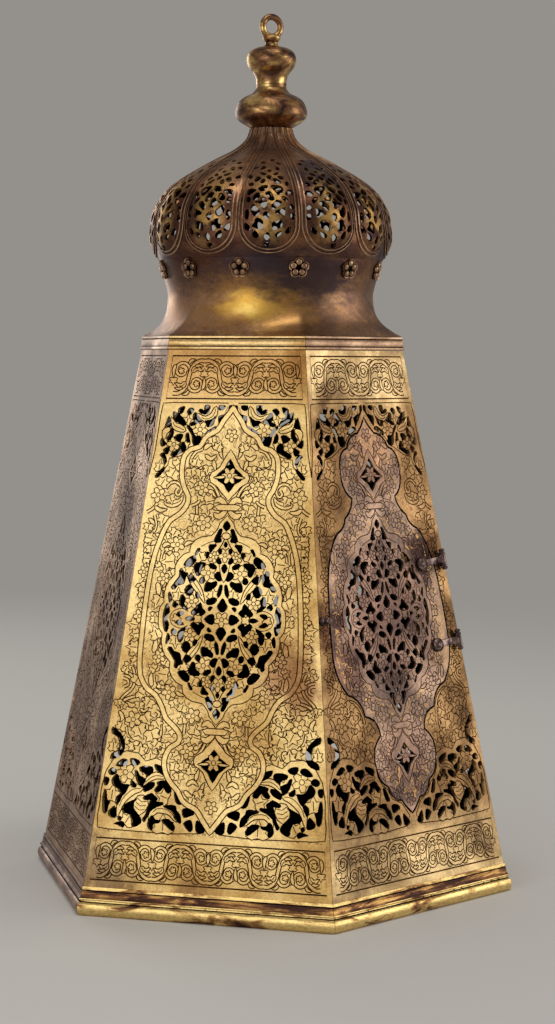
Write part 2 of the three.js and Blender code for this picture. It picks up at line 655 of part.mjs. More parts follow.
// Hinge pieces, about the middle of the pin: x away from the leaf, y along the pin, z outwards
const HINGE_SKEW = Math.atan(EDGE_TAPER); // the pins lie along the panel's corner edge
const barrelRadius = HINGE_PIN_RADIUS + HINGE_BORE_CLEARANCE + HINGE_BARREL_WALL;
const seatLevel = SEAT_GAP - HINGE_PIN_HEIGHT;
const earStart = HINGE_STRAP_WIDTH / 2 + EAR_CLEARANCE;
const earEnd = earStart + EAR_THICKNESS;
const boreRadius = HINGE_PIN_RADIUS + HINGE_BORE_CLEARANCE;
const hingeBore = solid(new THREE.CylinderGeometry(boreRadius, boreRadius, 4 * earEnd, 8));
const alongPin = (shape, low, high) => solid(prism(shape, -high, -low, 5).rotateX(Math.PI / 2));

// Strap: a bar on the leaf that rises to a barrel round the pin, and a round boss over its rivet
function hingeStrap() {
  const top = seatLevel + HINGE_STRAP_THICKNESS;
  const bar = polygon([
    [-HINGE_BOSS_DISTANCE, seatLevel],
    [-2.6 * barrelRadius, seatLevel],
    [-0.6 * barrelRadius, -0.8 * barrelRadius],
    [0, 0],
    [-0.7 * barrelRadius, 0.7 * barrelRadius],
    [-2.5 * barrelRadius, top],
    [-HINGE_BOSS_DISTANCE, top],
  ]);
  const barrel = new THREE.CylinderGeometry(barrelRadius, barrelRadius, HINGE_STRAP_WIDTH, 12);
  const boss = lathe(
    [
      [0, 0],
      [HINGE_BOSS_RADIUS, 0],
      [HINGE_BOSS_RADIUS, 0.45 * HINGE_BOSS_HEIGHT],
      [0.68 * HINGE_BOSS_RADIUS, 0.86 * HINGE_BOSS_HEIGHT],
      [0, HINGE_BOSS_HEIGHT],
    ],
    12,
  );
  return alongPin(bar, -HINGE_STRAP_WIDTH / 2, HINGE_STRAP_WIDTH / 2)
    .add(solid(barrel))
    .add(solid(boss.translate(-HINGE_BOSS_DISTANCE, 0, seatLevel)))
    .subtract(hingeBore);
}

// Bracket: a plate soldered on the panel, with two ears that hold the pin
function hingeBracket() {
  const inner = -1.4 * barrelRadius;
  const outer = HINGE_INSET - BRACKET_MARGIN;
  const plateTop = seatLevel + BRACKET_THICKNESS;
  const base = polygon([[inner, seatLevel], [outer, seatLevel], [outer, plateTop], [inner, plateTop]]);
  const earRadius = 1.1 * barrelRadius;
  const ear = new THREE.Shape()
    .moveTo(-earRadius, seatLevel)
    .lineTo(earRadius, seatLevel)
    .lineTo(earRadius, 0)
    .absarc(0, 0, earRadius, 0, Math.PI, false);
  return alongPin(base, -earEnd, earEnd)
    .add(alongPin(ear, earStart, earEnd))
    .add(alongPin(ear, -earEnd, -earStart))
    .subtract(hingeBore);
}

// Pin with a turned bead at each end
function hingePin() {
  const neck = earEnd + SEAT_GAP;
  const bead = [[1, 0], [1.6, 0.11], [2.1, 0.51], [1.5, 0.89], [0, 1]].map(([across, along]) => [
    across * HINGE_PIN_RADIUS,
    neck + along * HINGE_BEAD_LENGTH,
  ]);
  const whole = [...bead.map(([r, y]) => [r, -y]).reverse(), ...bead];
  return lathe(whole, 8).rotateX(-Math.PI / 2);
}

// Latch stud: a turned stud with a flange, a neck and a head
const latchShares = [
  [0, 0], [1, 0], [1, 0.12], [0.56, 0.2], [0.56, 0.55], [0.78, 0.66], [0.78, 0.84], [0.44, 0.97], [0, 1],
];
const latchPoints = latchShares.map(([across, up]) => [across * LATCH_RADIUS, up * LATCH_HEIGHT]);

// Assembly
const lantern = new THREE.Group();

for (let k = 0; k < SIDES; k += 1) {
  const side = new THREE.Group();
  side.rotation.z = (k * 2 * Math.PI) / SIDES;
  if (k === 0) side.add(named("door_panel", doorPanelSolid, gilt));
  else side.add(named(`panel_${k}`, panelSolid, gilt));
  side.add(named(`foot_moulding_${k + 1}`, footSolid, gilt));
  side.add(named(`cornice_${k + 1}`, corniceSolid, gilt));
  side.add(named(`corner_strip_${k + 1}`, stripSolid, innerBrass));
  lantern.add(side);
}

const face = new THREE.Group();
face.applyMatrix4(facePlane);
face.add(named("door_leaf", leafSolid, tarnished));
DRAWN.hinges.forEach((middle, i) => {
  const [, height] = fitted(middle);
  const hinge = new THREE.Group();
  hinge.position.set(halfWidthAt(height) - HINGE_INSET / Math.cos(HINGE_SKEW), height, HINGE_PIN_HEIGHT);
  hinge.rotation.z = HINGE_SKEW;
  const place = ["lower", "upper"][i];
  hinge.add(named(`hinge_strap_${place}`, hingeStrap(), darkBrass));
  hinge.add(named(`hinge_bracket_${place}`, hingeBracket(), darkBrass));
  hinge.add(named(`hinge_pin_${place}`, hingePin(), darkBrass));
  face.add(hinge);
});
const latch = named("latch_stud", lathe(latchPoints, 10), darkBrass);
latch.position.set(...fitted(DRAWN.latch), SEAT_GAP);
face.add(latch);
const [tabWidth, tabHeight] = [DOOR_STOP_WIDTH, DOOR_STOP_HEIGHT];
const tab = polygon([[0, 0], [tabWidth, 0], [tabWidth, tabHeight], [0, tabHeight]]);
DRAWN.doorStops.forEach((place, i) => {
  const stop = named(`door_stop_${i + 1}`, prism(tab, -DOOR_STOP_THICKNESS, 0), innerBrass);
  stop.position.set(...fitted(place), -SHEET - SEAT_GAP);
  face.add(stop);
});
lantern.add(face);

lantern.add(named("cap_shell", capSolid(), tarnished));
const rosette = rosetteSolid();
for (let i = 0; i < LOBES; i += 1) {
  const spoke = new THREE.Group();
  spoke.rotation.z = (i * 2 * Math.PI) / LOBES;
  const flowerHead = named(`rosette_${i + 1}`, rosette, darkBrass);
  flowerHead.position.set(0, -rosetteSeatRadius, rosetteHeight);
  flowerHead.rotation.x = Math.PI / 2 + drumLean;
  spoke.add(flowerHead);
  lantern.add(spoke);
}

// Pieces threaded on the axis or standing on the floor, each raised to its seat
function standing(name, shape, height, material) {
  const mesh = named(name, shape, material);
  mesh.position.z = height;
  return mesh;
}

lantern.add(
  standing("lower_knop", lowerKnop, LOWER_KNOP_SEAT, darkBrass),
  standing("upper_knop", upperKnop, UPPER_KNOP_SEAT, darkBrass),
  named("suspension_eye", eyeSolid(), gilt),
  standing("rod_washer", washerSolid(), WASHER_BOTTOM, innerBrass),
  standing("rod_nut", nutSolid(), NUT_BOTTOM, innerBrass),
);

const panSeat = FLOOR_TOP + SEAT_GAP;
const panPoints = [
  [0, 0],
  [PAN_RADIUS - PAN_RIM_WIDTH, 0],
  [PAN_RADIUS, PAN_RIM_HEIGHT - PAN_WALL],
  [PAN_RADIUS, PAN_RIM_HEIGHT],
  [PAN_RADIUS - PAN_WALL, PAN_RIM_HEIGHT],
  [PAN_RADIUS - PAN_RIM_WIDTH - PAN_WALL / 2, PAN_WALL],
  [0, PAN_WALL],
];
const socketOuter = SOCKET_BORE + SOCKET_WALL;
const socketPoints = [
  [0, 0],
  [SOCKET_FOOT_RADIUS, 0],
  [SOCKET_FOOT_RADIUS, SOCKET_FOOT_THICKNESS],
  [socketOuter, 2.5 * SOCKET_FOOT_THICKNESS],
  [socketOuter, SOCKET_HEIGHT - SOCKET_LIP],
  [socketOuter + SOCKET_LIP, SOCKET_HEIGHT],
  [SOCKET_BORE, SOCKET_HEIGHT],
  [SOCKET_BORE, SOCKET_FLOOR],
  [0, SOCKET_FLOOR],
];
lantern.add(
  named("floor_plate", bodyFrustum(LIP_TOP, FLOOR_TOP, SHEET_ACROSS + SEAT_GAP), innerBrass),
  standing("drip_pan", lathe(panPoints, 18), panSeat, innerBrass),
  standing("candle_socket", lathe(socketPoints, 12), panSeat + PAN_WALL + SEAT_GAP, innerBrass),
);

export default lantern;
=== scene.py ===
import math

import bmesh
import bpy
import numpy as np
from mathutils import Matrix, Vector
from mathutils.geometry import delaunay_2d_cdt


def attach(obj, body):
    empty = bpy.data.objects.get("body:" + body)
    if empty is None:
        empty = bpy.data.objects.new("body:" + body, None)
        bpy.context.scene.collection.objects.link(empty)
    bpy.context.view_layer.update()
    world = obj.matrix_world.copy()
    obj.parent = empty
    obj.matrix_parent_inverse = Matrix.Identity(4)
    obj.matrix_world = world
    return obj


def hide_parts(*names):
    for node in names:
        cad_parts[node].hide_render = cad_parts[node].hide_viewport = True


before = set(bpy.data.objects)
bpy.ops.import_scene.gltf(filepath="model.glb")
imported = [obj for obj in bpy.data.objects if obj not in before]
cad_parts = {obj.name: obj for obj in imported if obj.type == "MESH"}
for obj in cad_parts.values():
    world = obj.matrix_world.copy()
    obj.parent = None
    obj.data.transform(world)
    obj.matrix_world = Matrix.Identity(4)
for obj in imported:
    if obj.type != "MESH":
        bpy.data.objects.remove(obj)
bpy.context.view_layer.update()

MM = 0.001

# Camera: it stands in front of the corner between the door's face and the face left of it, at the height of
# the cartouches, and looks slightly down. The picture is 555 x 1024, upright.
LOOK_TURN = math.radians(-44.22)
CAMERA_DISTANCE = 1672.0 * MM
CAMERA_HEIGHT = 390.4 * MM
CAMERA_TILT = 0.0692407
CAMERA_PAN = 0.0036253
CAMERA_ROLL = 0.0048474
LENS = 78.71
FILM_HEIGHT = 36.0

camera_data = bpy.data.cameras.new("camera")
camera_data.sensor_fit = "VERTICAL"
camera_data.sensor_height = FILM_HEIGHT
camera_data.lens = LENS
camera_data.clip_start = 0.05
camera_data.clip_end = 50
camera = bpy.data.objects.new("camera", camera_data)
around = Matrix.Rotation(LOOK_TURN, 4, "Z")
camera.location = around @ Vector((0, -CAMERA_DISTANCE, CAMERA_HEIGHT))
looking = (
    around
    @ Matrix.Rotation(-CAMERA_PAN, 4, "Z")
    @ Matrix.Rotation(math.pi / 2 - CAMERA_TILT, 4, "X")
    @ Matrix.Rotation(CAMERA_ROLL, 4, "Z")
)
camera.rotation_euler = looking.to_euler()
bpy.context.scene.collection.objects.link(camera)
bpy.context.scene.camera = camera
bpy.context.scene.view_settings.view_transform = "Standard"


# Panels: five leaning sides of rolled brass sheet, fire-gilt, sawn through with a fretsaw where the ground is
# open and engraved with a graver everywhere else. They stand in the foot moulding and are soldered to angle
# strips inside the corners.
SIDES = 6
FOOT_HEIGHT = 20.0
BODY_RISE = 375.0
FOOT_RADIUS = 180.0
HEAD_RADIUS = 101.0
SHEET = 2.0
SEAT_GAP = 0.3
GRAVER = 0.85
VEIN_CUT = 0.8 * GRAVER
HAIR_CUT = 0.7 * GRAVER
GRAVER_DEPTH = 0.4
FLAT = math.cos(math.pi / SIDES)
LEAN = math.atan((FOOT_RADIUS - HEAD_RADIUS) * FLAT / BODY_RISE)
SLANT = BODY_RISE / math.cos(LEAN)
PANEL_FOOT = -(FOOT_HEIGHT - 2 - SEAT_GAP) / math.cos(LEAN)
# What the saw and the graver leave of the sheet, and the material slots of its faces.
HOLE, METAL, LINE, RIB, GROUND = range(5)
ON_FRONT, ON_CUTS, ON_BACK, ON_RIBS, ON_GROUND = range(5)


def half_width(v):
    return (FOOT_RADIUS + (HEAD_RADIUS - FOOT_RADIUS) * v / SLANT) / 2


def smooth(points, steps=3, closed=True):
    """A curve through the points."""
    count = len(points)
    found = []
    for i in range(count if closed else count - 1):
        if closed:
            four = [points[(i + k) % count] for k in (-1, 0, 1, 2)]
        else:
            four = [points[min(max(i + k, 0), count - 1)] for k in (-1, 0, 1, 2)]
        for step in range(steps):
            t = step / steps
            found.append(tuple(
                0.5 * (2 * b + (c - a) * t + (2 * a - 5 * b + 4 * c - d) * t * t
                       + (3 * b - a - 3 * c + d) * t**3)
                for a, b, c, d in zip(*four)
            ))
    return found if closed else found + [points[-1]]


def area(outline):
    return sum(a[0] * b[1] - b[0] * a[1] for a, b in zip(outline, outline[1:] + outline[:1])) / 2


def grown(outline, by):
    if area(outline) < 0:
        outline = outline[::-1]
    made = []
    for before, here, after in zip(outline[-1:] + outline[:-1], outline, outline[1:] + outline[:1]):
        along = math.atan2(after[1] - before[1], after[0] - before[0])
        made.append((here[0] + by * math.sin(along), here[1] - by * math.cos(along)))
    return made


def placed(points, at, turn=0.0, size=1.0):
    c, s = math.cos(turn) * size, math.sin(turn) * size
    return [(at[0] + c * x - s * y, at[1] + s * x + c * y) for x, y in points]


def flipped(points):
    return [(-x, y) for x, y in points]


def whole(half):
    """Both halves of an outline whose right half runs from its top to its foot."""
    return half + flipped(half[1:-1])[::-1]


def oval(at, across, up, corners=8):
    turns = [2 * math.pi * i / corners for i in range(corners)]
    return [(at[0] + across * math.cos(t), at[1] + up * math.sin(t)) for t in turns]


def ribbon(way, width):
    """The way as a row of quads that share their mitred ends."""
    sides = []
    for i, (x, y) in enumerate(way):
        before, after = way[max(i - 1, 0)], way[min(i + 1, len(way) - 1)]
        along = math.atan2(after[1] - before[1], after[0] - before[0])
        dx, dy = -math.sin(along) * width / 2, math.cos(along) * width / 2
        sides.append(((x - dx, y - dy), (x + dx, y + dy)))
    return [[a, b, d, c] for (a, c), (b, d) in zip(sides, sides[1:])]


class Sheet:
    """A piece of sheet and what the fretsaw and the graver do to it, in order. A line over an opening
    leaves the opening, and metal over an opening is a bar that stays standing."""

    IVY = [(0, 0), (0.3, -0.1), (0.6, 0.1), (0.38, 0.33), (0.56, 0.6), (0.2, 0.62), (0, 1.05)]

    def __init__(self, outline):
        self.cuts = []
        self.cut(METAL, outline)

    def cut(self, kind, outline):
        self.cuts.append((kind, outline if area(outline) > 0 else outline[::-1]))

    def band(self, kind, way, width):
        for quad in ribbon(way, width):
            self.cut(kind, quad)

    def outlined(self, outline):
        self.cut(LINE, grown(outline, GRAVER / 2))
        self.cut(METAL, grown(outline, -GRAVER / 2))

    def stem(self, way, width):
        self.band(LINE, way, width + 2 * GRAVER)
        self.band(METAL, way, width)

    def flower(self, at, radius, turn=0.0, petals=5, open_heart=True):
        outline = []
        for i in range(petals * 3):
            angle = turn + math.pi / 2 + 2 * math.pi * i / (3 * petals)
            reach = radius * (0.62 if i % 3 == 0 else 1.0)
            outline.append((at[0] + reach * math.cos(angle), at[1] + reach * math.sin(angle)))
        self.outlined(outline)
        if not open_heart:
            return
        heart = oval(at, 0.24 * radius, 0.24 * radius, 6)
        self.cut(LINE, grown(heart, VEIN_CUT))
        self.cut(METAL, heart)
        for i in range(petals):
            angle = turn + math.pi / 2 + 2 * math.pi * i / petals
            ends = (0.4 * radius, 0.66 * radius)
            vein = [(at[0] + r * math.cos(angle), at[1] + r * math.sin(angle)) for r in ends]
            self.band(LINE, vein, VEIN_CUT)

    def leaf(self, at, length, turn=0.0, slim=1.0, vein=True):
        half = [(x * slim, y) for x, y in self.IVY]
        self.outlined(placed(whole(half), at, turn, length))
        if vein:
            self.band(LINE, placed([(0, 0.1), (0, 0.66)], at, turn, length), VEIN_CUT)

    def blade(self, way, width, fullest=0.4, vein=False):
        """A long split leaf that swells along its way and ends in a point."""
        path = smooth(way, 3, closed=False)
        swell = math.log(0.5) / math.log(fullest)
        left, right = [], []
        for i, (x, y) in enumerate(path):
            t = i / (len(path) - 1)
            half = width / 2 * max(math.sin(math.pi * t**swell), 0) ** 0.8
            before, after = path[max(i - 1, 0)], path[min(i + 1, len(path) - 1)]
            along = math.atan2(after[1] - before[1], after[0] - before[0])
            left.append((x - math.sin(along) * half, y + math.cos(along) * half))
            right.append((x + math.sin(along) * half, y - math.cos(along) * half))
        self.outlined(right + left[1:-1][::-1])
        if vein:
            self.band(LINE, path[1:-2], HAIR_CUT)


# The ornament is measured on the face in front of the camera's left, in millimetres across from the face's
# middle line and up from the foot moulding. These are the right halves.
CARTOUCHE = [
    (0, 341.5), (3.6, 337), (8.4, 330.5), (11.5, 325), (17, 322), (21, 318.5), (24, 313), (30, 311.3),
    (35.2, 306), (36.8, 298), (36.4, 289), (33.8, 281), (30.8, 275.5), (32, 270), (36.5, 264.5), (43, 260),
    (47.5, 252), (50.5, 244), (53.5, 234), (56.3, 218), (58.3, 198), (59.5, 178), (60, 160), (58.6, 148),
    (53, 139), (46.3, 134.5), (41.5, 127), (38, 119), (31.5, 113.3), (27.3, 108.3), (28, 104), (33.3, 100.5),
    (37, 93.5), (37.3, 86), (34.6, 78.5), (30.5, 73), (26, 68.5), (22.6, 62.5), (17.5, 58.8), (12.2, 56.6),
    (8, 51), (3.6, 45), (0, 41),
]
MEDALLION_MIDDLE = 190.0
MEDALLION_QUARTER = [
    (0, 69.5), (3, 62), (9, 55.5), (17, 54), (21.8, 50.5), (22.8, 44.5), (28.5, 41.8), (32.4, 36),
    (32.3, 29.5), (37, 24), (39.3, 17), (39.2, 10), (42, 6), (42.6, 0),
]
MEDALLION_HALF = MEDALLION_QUARTER + [(x, -y) for x, y in MEDALLION_QUARTER[:-1]][::-1]
MEDALLION = smooth(placed(whole(MEDALLION_HALF), (0, MEDALLION_MIDDLE)), 2)
DIAMONDS = ((291, 12.5, 10.7, 11.5), (90, 9.6, 10.4, 13.5))
DIAMOND_RIM = [
    (0, 19), (3, 15), (5.4, 10.5), (7.6, 6.5), (10.6, 4), (13.4, 2.6), (14.8, -1), (13.8, -4.4),
    (11.4, -5.8), (8.4, -7.8), (5.6, -11.4), (3.2, -13.8), (0, -17.5),
]
MEDALLION_OPENINGS = [
    [(3, 63.2), (5, 63.5), (6.6, 60.5), (8.8, 55.2), (6, 54.2), (3.2, 55), (4.2, 58.5)],
    [(6.5, 52.3), (11.8, 52.4), (12, 49.5), (10.8, 46.8), (8.2, 50.4)],
    [(2.6, 49.2), (4.3, 49.8), (5.1, 47.8), (4.2, 46.3), (2.8, 47)],
    [(11.6, 46.8), (14.2, 47), (13.8, 43.4), (12.7, 42.8)],
    [(18.4, 49.2), (20.2, 49.6), (22.2, 45.2), (20.8, 45.8)],
    [(22.8, 44.4), (27, 42.2), (30, 38), (28.5, 37), (25, 36.8), (21, 41)],
    [(5.2, 43.8), (5.8, 40.5), (4, 39), (2.4, 39.8), (3.6, 42.5)],
    [(5.7, 37), (8.2, 38.9), (10.8, 39.4), (11, 37.8), (9.5, 35.8), (6.5, 35.4)],
    [(14.4, 39.6), (20, 39.4), (22.6, 36.6), (19.8, 30.4), (17.4, 31.4), (17.4, 34.6), (14.2, 37.6)],
    [(3.6, 33.4), (5.6, 32.8), (7.2, 30.4), (4.2, 27.2), (1.6, 27.6), (2.4, 31)],
    [(31, 35.2), (33, 33.5), (32.8, 29.5), (38.4, 21.6), (35.6, 20.4), (33.6, 23.2), (29.4, 24.4),
     (28.2, 28), (27.6, 31.8), (29.8, 32.8)],
    [(20.6, 28.4), (23.2, 30.8), (25.8, 30.2), (25.4, 27), (23.8, 25.4), (21.2, 26.8)],
    [(14.4, 29.4), (16.4, 29.4), (17.9, 27), (16.4, 25), (14, 26)],
    [(5.6, 26.8), (9, 25.6), (12.8, 26), (14, 21), (12.3, 19.3), (7, 22), (4.8, 24.6)],
    [(0.8, 23.8), (2.6, 24), (4.3, 17.5), (3, 15.8), (1.4, 18.5)],
    [(25.2, 24), (28.4, 20.2), (26.4, 16.4), (23.4, 16.6), (21.6, 20.2)],
    [(4.2, 13.8), (6.5, 15.4), (9.5, 14.4), (12, 13), (11.6, 10.8), (9.2, 10.2), (6, 11.2)],
    [(17.2, 14.8), (19.6, 15), (20.2, 17.8), (19, 19), (17.2, 17)],
    [(29, 16.4), (30.8, 16), (31.5, 9.8), (26, 5.8), (25.6, 7.2), (28.2, 10.4), (27.2, 13.4)],
    [(16, 11.6), (20, 7.4), (22.6, 4.6), (20.6, 2.4), (17, 4.4), (15.8, 2), (12, 4.8), (14.6, 7.6)],
    [(7, 8.4), (9.2, 8.8), (10.3, 7.4), (9.4, 5.8)],
    [(33.2, 10.4), (35.4, 11.8), (36.6, 9), (34.8, 7.4), (32.4, 8.8)],
    [(39, 18.2), (40.1, 17), (39, 10.8), (37.4, 12.6), (37.6, 15.4)],
    [(27.4, 4.2), (31.4, 4.6), (33.4, 2.6), (31.6, 1.2), (29.4, 2.4)],
]
MEDALLION_ON_AXIS = [
    [(0, 69.5), (2.7, 65.6), (0.8, 63), (0, 62.2), (-0.8, 63), (-2.7, 65.6)],
    [(0, 54.9), (1.3, 52.6), (0, 50.8), (-1.3, 52.6)],
    [(0, 39.2), (2.1, 36.2), (0, 32.4), (-2.1, 36.2)],
    [(0, 15), (2.4, 11.5), (3.7, 9.2), (2, 6.2), (0, 5.4), (-2, 6.2), (-3.7, 9.2), (-2.4, 11.5)],
]
MEDALLION_ON_LEVEL = [
    [(39.8, 10), (41.9, 7.6), (43.2, 0), (41.9, -7.6), (39.8, -10), (38.5, -4.4), (40.5, 0), (38.5, 4.4)],
    [(5.7, 2.8), (8.6, 3.3), (12.8, 0), (8.6, -3.3), (5.7, -2.8)],
    [(20.2, 0), (22.6, 1.6), (26.8, 0), (22.6, -1.6)],
]
CORNER_OPENINGS = [
    [(0.6, 341.4), (3.2, 341), (3.4, 337.3), (5, 335.2), (10.4, 333.8), (10.4, 330), (9.8, 327),
     (8.6, 327), (5.8, 330.6), (3.5, 334), (1.4, 337), (0.6, 338)],
    [(5.6, 341.2), (10.6, 341.4), (10.4, 338.4), (8.8, 337.8), (6.8, 338.6)],
    [(17, 341.2), (21, 341.4), (21.4, 337.8), (23.2, 338.8), (25.4, 338.2), (24.8, 336.4), (22, 335.1),
     (18.6, 335.2), (17.4, 337.5)],
    [(12.8, 334), (14, 332.5), (16.5, 331), (20.4, 330.4), (19.2, 328), (18.6, 326), (16.4, 326),
     (14.2, 327.6), (13.2, 330)],
    [(10, 325.8), (12.5, 326.4), (15, 325), (19, 322.4), (19, 320), (17.4, 319.6), (12, 322.7), (9.4, 324)],
    [(27.8, 336.4), (29.4, 334.6), (29.4, 331.5), (28.6, 330), (31.6, 328.4), (31.6, 327), (29, 326.6),
     (25, 329), (22.4, 329.6), (25.4, 333.4)],
    [(28.8, 338.4), (31.6, 339.6), (34, 337.2), (33.4, 335), (31.6, 334.4), (29.8, 336.4)],
    [(35.6, 340.2), (38, 340.2), (40.6, 338.6), (40.9, 335.8), (44.4, 336.8), (43.9, 331.6), (42.4, 329.8),
     (39.6, 328.8), (37.4, 327), (34.6, 326.8), (34.2, 328.6), (36, 331.4), (39.2, 334.6), (37.2, 335.8)],
    [(47.2, 333.4), (48.6, 330.5), (50.2, 325), (48.2, 325.2), (45.2, 326.2), (45.3, 329)],
    [(32.8, 327.2), (33.6, 325.6), (29.8, 320.4), (29.2, 316), (27.8, 312.6), (26, 311.8), (23.4, 312.4),
     (21.8, 314.6), (22.4, 317.2), (23.4, 319.7), (26, 319.2), (28, 320.8), (29.6, 324.4)],
    [(32.2, 321.8), (34, 320.6), (34.2, 318), (33.2, 315.2), (31.2, 314.6), (31, 317.6)],
    [(44.6, 325.8), (46.6, 320), (48.4, 317.4), (46.8, 315.2), (43.4, 319.4), (43.2, 322.8)],
    [(36, 320.4), (39.8, 320.6), (42.8, 318), (41.4, 316.4), (38.4, 314.8), (36.8, 317.4)],
    [(35.8, 315.2), (38.4, 312.6), (38.8, 310), (43.8, 307.2), (44.4, 305), (42, 304.4), (36.4, 307.2),
     (33.8, 309), (33.2, 311.8)],
    [(52.2, 317.4), (52.6, 313.6), (51.4, 311.4), (48, 313.2), (50, 315.8)],
    [(46.2, 311.6), (48.6, 310.6), (50.4, 308.8), (47.6, 305.8), (45.8, 308)],
    [(50, 307.2), (52.6, 305.6), (50.2, 303), (49.8, 300.6), (48.2, 298.8), (47, 301), (48, 304.8)],
    [(48, 297), (51, 295.2), (55.4, 290.4), (53.4, 289), (49, 293.8)],
    [(75.5, 112), (69.5, 108), (65.8, 101.5), (66.3, 95), (70, 90.8), (76, 89.5), (74.8, 93.5), (71, 95.5),
     (69.8, 100), (71.5, 105), (75.8, 107.5)],
    [(71.7, 85), (66.4, 84.6), (62.6, 87), (63.2, 89.4), (66.2, 90), (69, 88.4)],
    [(61, 90.4), (57, 90.4), (53.6, 88.4), (55.2, 86.2), (58.6, 85.4), (60.5, 87)],
    [(76.8, 81), (74.2, 83.4), (71.2, 82.4), (70.5, 80), (73.6, 78.2), (76, 78.8)],
    [(53.8, 84.6), (49.6, 85.8), (44.5, 85.4), (43.6, 82.4), (46.2, 79.4), (48.8, 78.4), (49, 80.6),
     (53, 82)],
    [(42.9, 87), (40.8, 87.2), (34, 84.6), (34.4, 80.4), (36.4, 80), (41.8, 83.8)],
    [(57.2, 82.2), (55, 81.8), (53.4, 79), (48.6, 76.6), (50, 73.4), (51.4, 70.8), (55.4, 75)],
    [(79.4, 76.4), (77.2, 76.6), (75.6, 75.2), (76.6, 71.6), (78.8, 70.8), (79.6, 73)],
    [(70, 79.2), (68.4, 76.4), (67, 73.4), (63.4, 72.2), (61, 72.4), (61.4, 70), (63.5, 65.8), (66, 64.8),
     (69.4, 69.2), (72.6, 71), (74, 74.4), (72.7, 77.2)],
    [(59.8, 74.6), (58.4, 75.2), (55.2, 72), (56.4, 70.4), (59.2, 71)],
    [(50.2, 71.8), (46, 74.4), (42.4, 74.8), (42, 72.8), (44, 70.2), (47.4, 68.4), (49.8, 68)],
    [(40.5, 75), (34.6, 76.6), (31.3, 72.8), (29.2, 69.4), (31.4, 67.8), (33, 68.2), (35.5, 71.4),
     (37.2, 69.4), (40.4, 67.8), (42, 69.6), (39.8, 72.8)],
    [(50, 64.2), (44, 67.2), (42, 65.8), (39.2, 63.8), (40, 61.4), (35.2, 61.4), (35.6, 59.4),
     (39.8, 57.8), (44, 54.6), (45.6, 52), (46.8, 48.8), (48.4, 46.8), (49.8, 49), (47.8, 51.8), (45, 61),
     (45, 62.6), (48.6, 62.2)],
    [(79, 67.2), (77.2, 67), (76.4, 61), (74, 59.8), (75.4, 56.6), (75.8, 52.8), (77.6, 51.2), (79.2, 53),
     (79.8, 58), (79.8, 63)],
    [(69.8, 63.2), (67.4, 64.8), (65.2, 64.4), (68.6, 57.4), (70.2, 59.4)],
    [(70.6, 57), (73, 55), (75.1, 52.8), (74.4, 49.8), (69.6, 48.6), (69.2, 53)],
    [(65.2, 56.6), (61, 59.8), (54, 62.8), (57, 59.6), (56.6, 56.4), (54, 53.2), (50.8, 49.6),
     (50.4, 46.4), (53, 44.2), (56.2, 43), (57.3, 46), (59.4, 51.8), (64, 52.6)],
    [(70.8, 44.6), (67.6, 44), (63.6, 42.2), (62.4, 44.8), (64.6, 46.6)],
    [(66.8, 50.2), (67.9, 48), (65.8, 46.6), (64.8, 49)],
    [(42, 51.8), (40, 49), (36, 48.8), (37.8, 46.8), (41.4, 46), (41.8, 42), (44, 42), (45.8, 44.8),
     (45.2, 48), (44, 50.8)],
    [(35.8, 49.2), (30, 49.8), (25.4, 44.8), (27.2, 41.8), (32.6, 45.8)],
    [(34.8, 58.2), (29.8, 59.8), (25.6, 59.2), (25, 56.4), (22.4, 53.8), (21.4, 50.6), (21.4, 47.4),
     (24.8, 49), (26.8, 53.2), (29.4, 56.2)],
    [(27.6, 69.8), (25, 70), (22.6, 65), (21.4, 61.2), (23.6, 60.4), (26.2, 62.4)],
    [(21, 56.8), (18, 58.2), (13.6, 57), (12, 54.4), (15, 53), (19.6, 51.6)],
    [(19.6, 47.4), (16.4, 50), (14, 50), (12.8, 47), (12.6, 43.6), (15, 42.2)],
    [(10.2, 49.8), (8, 49.4), (3.4, 43.6), (6.4, 41.6), (9.6, 42), (10.6, 45.4)],
]
UPPER_CORNER = [
    (4, 341), (44, 341), (50.6, 341), (51.2, 335), (52.5, 322), (54, 308), (57.5, 291.5), (52, 294.5),
    (48, 299.5), (46.5, 305), (38, 307), (29, 312.5), (24.5, 314), (21.5, 319.5), (12.5, 325), (9.5, 332),
]
LOWER_CORNER = [
    (33.5, 86.5), (42, 89.5), (50, 87), (56, 92.5), (64, 93.5), (71, 89.5), (76.5, 80), (79, 68), (79.5, 57),
    (80.6, 50), (80.8, 43), (74, 42.8), (30, 42), (7, 43.5), (5.5, 47.5), (11.5, 56), (20.5, 60),
    (24.5, 67.5), (29, 71), (33, 78),
]


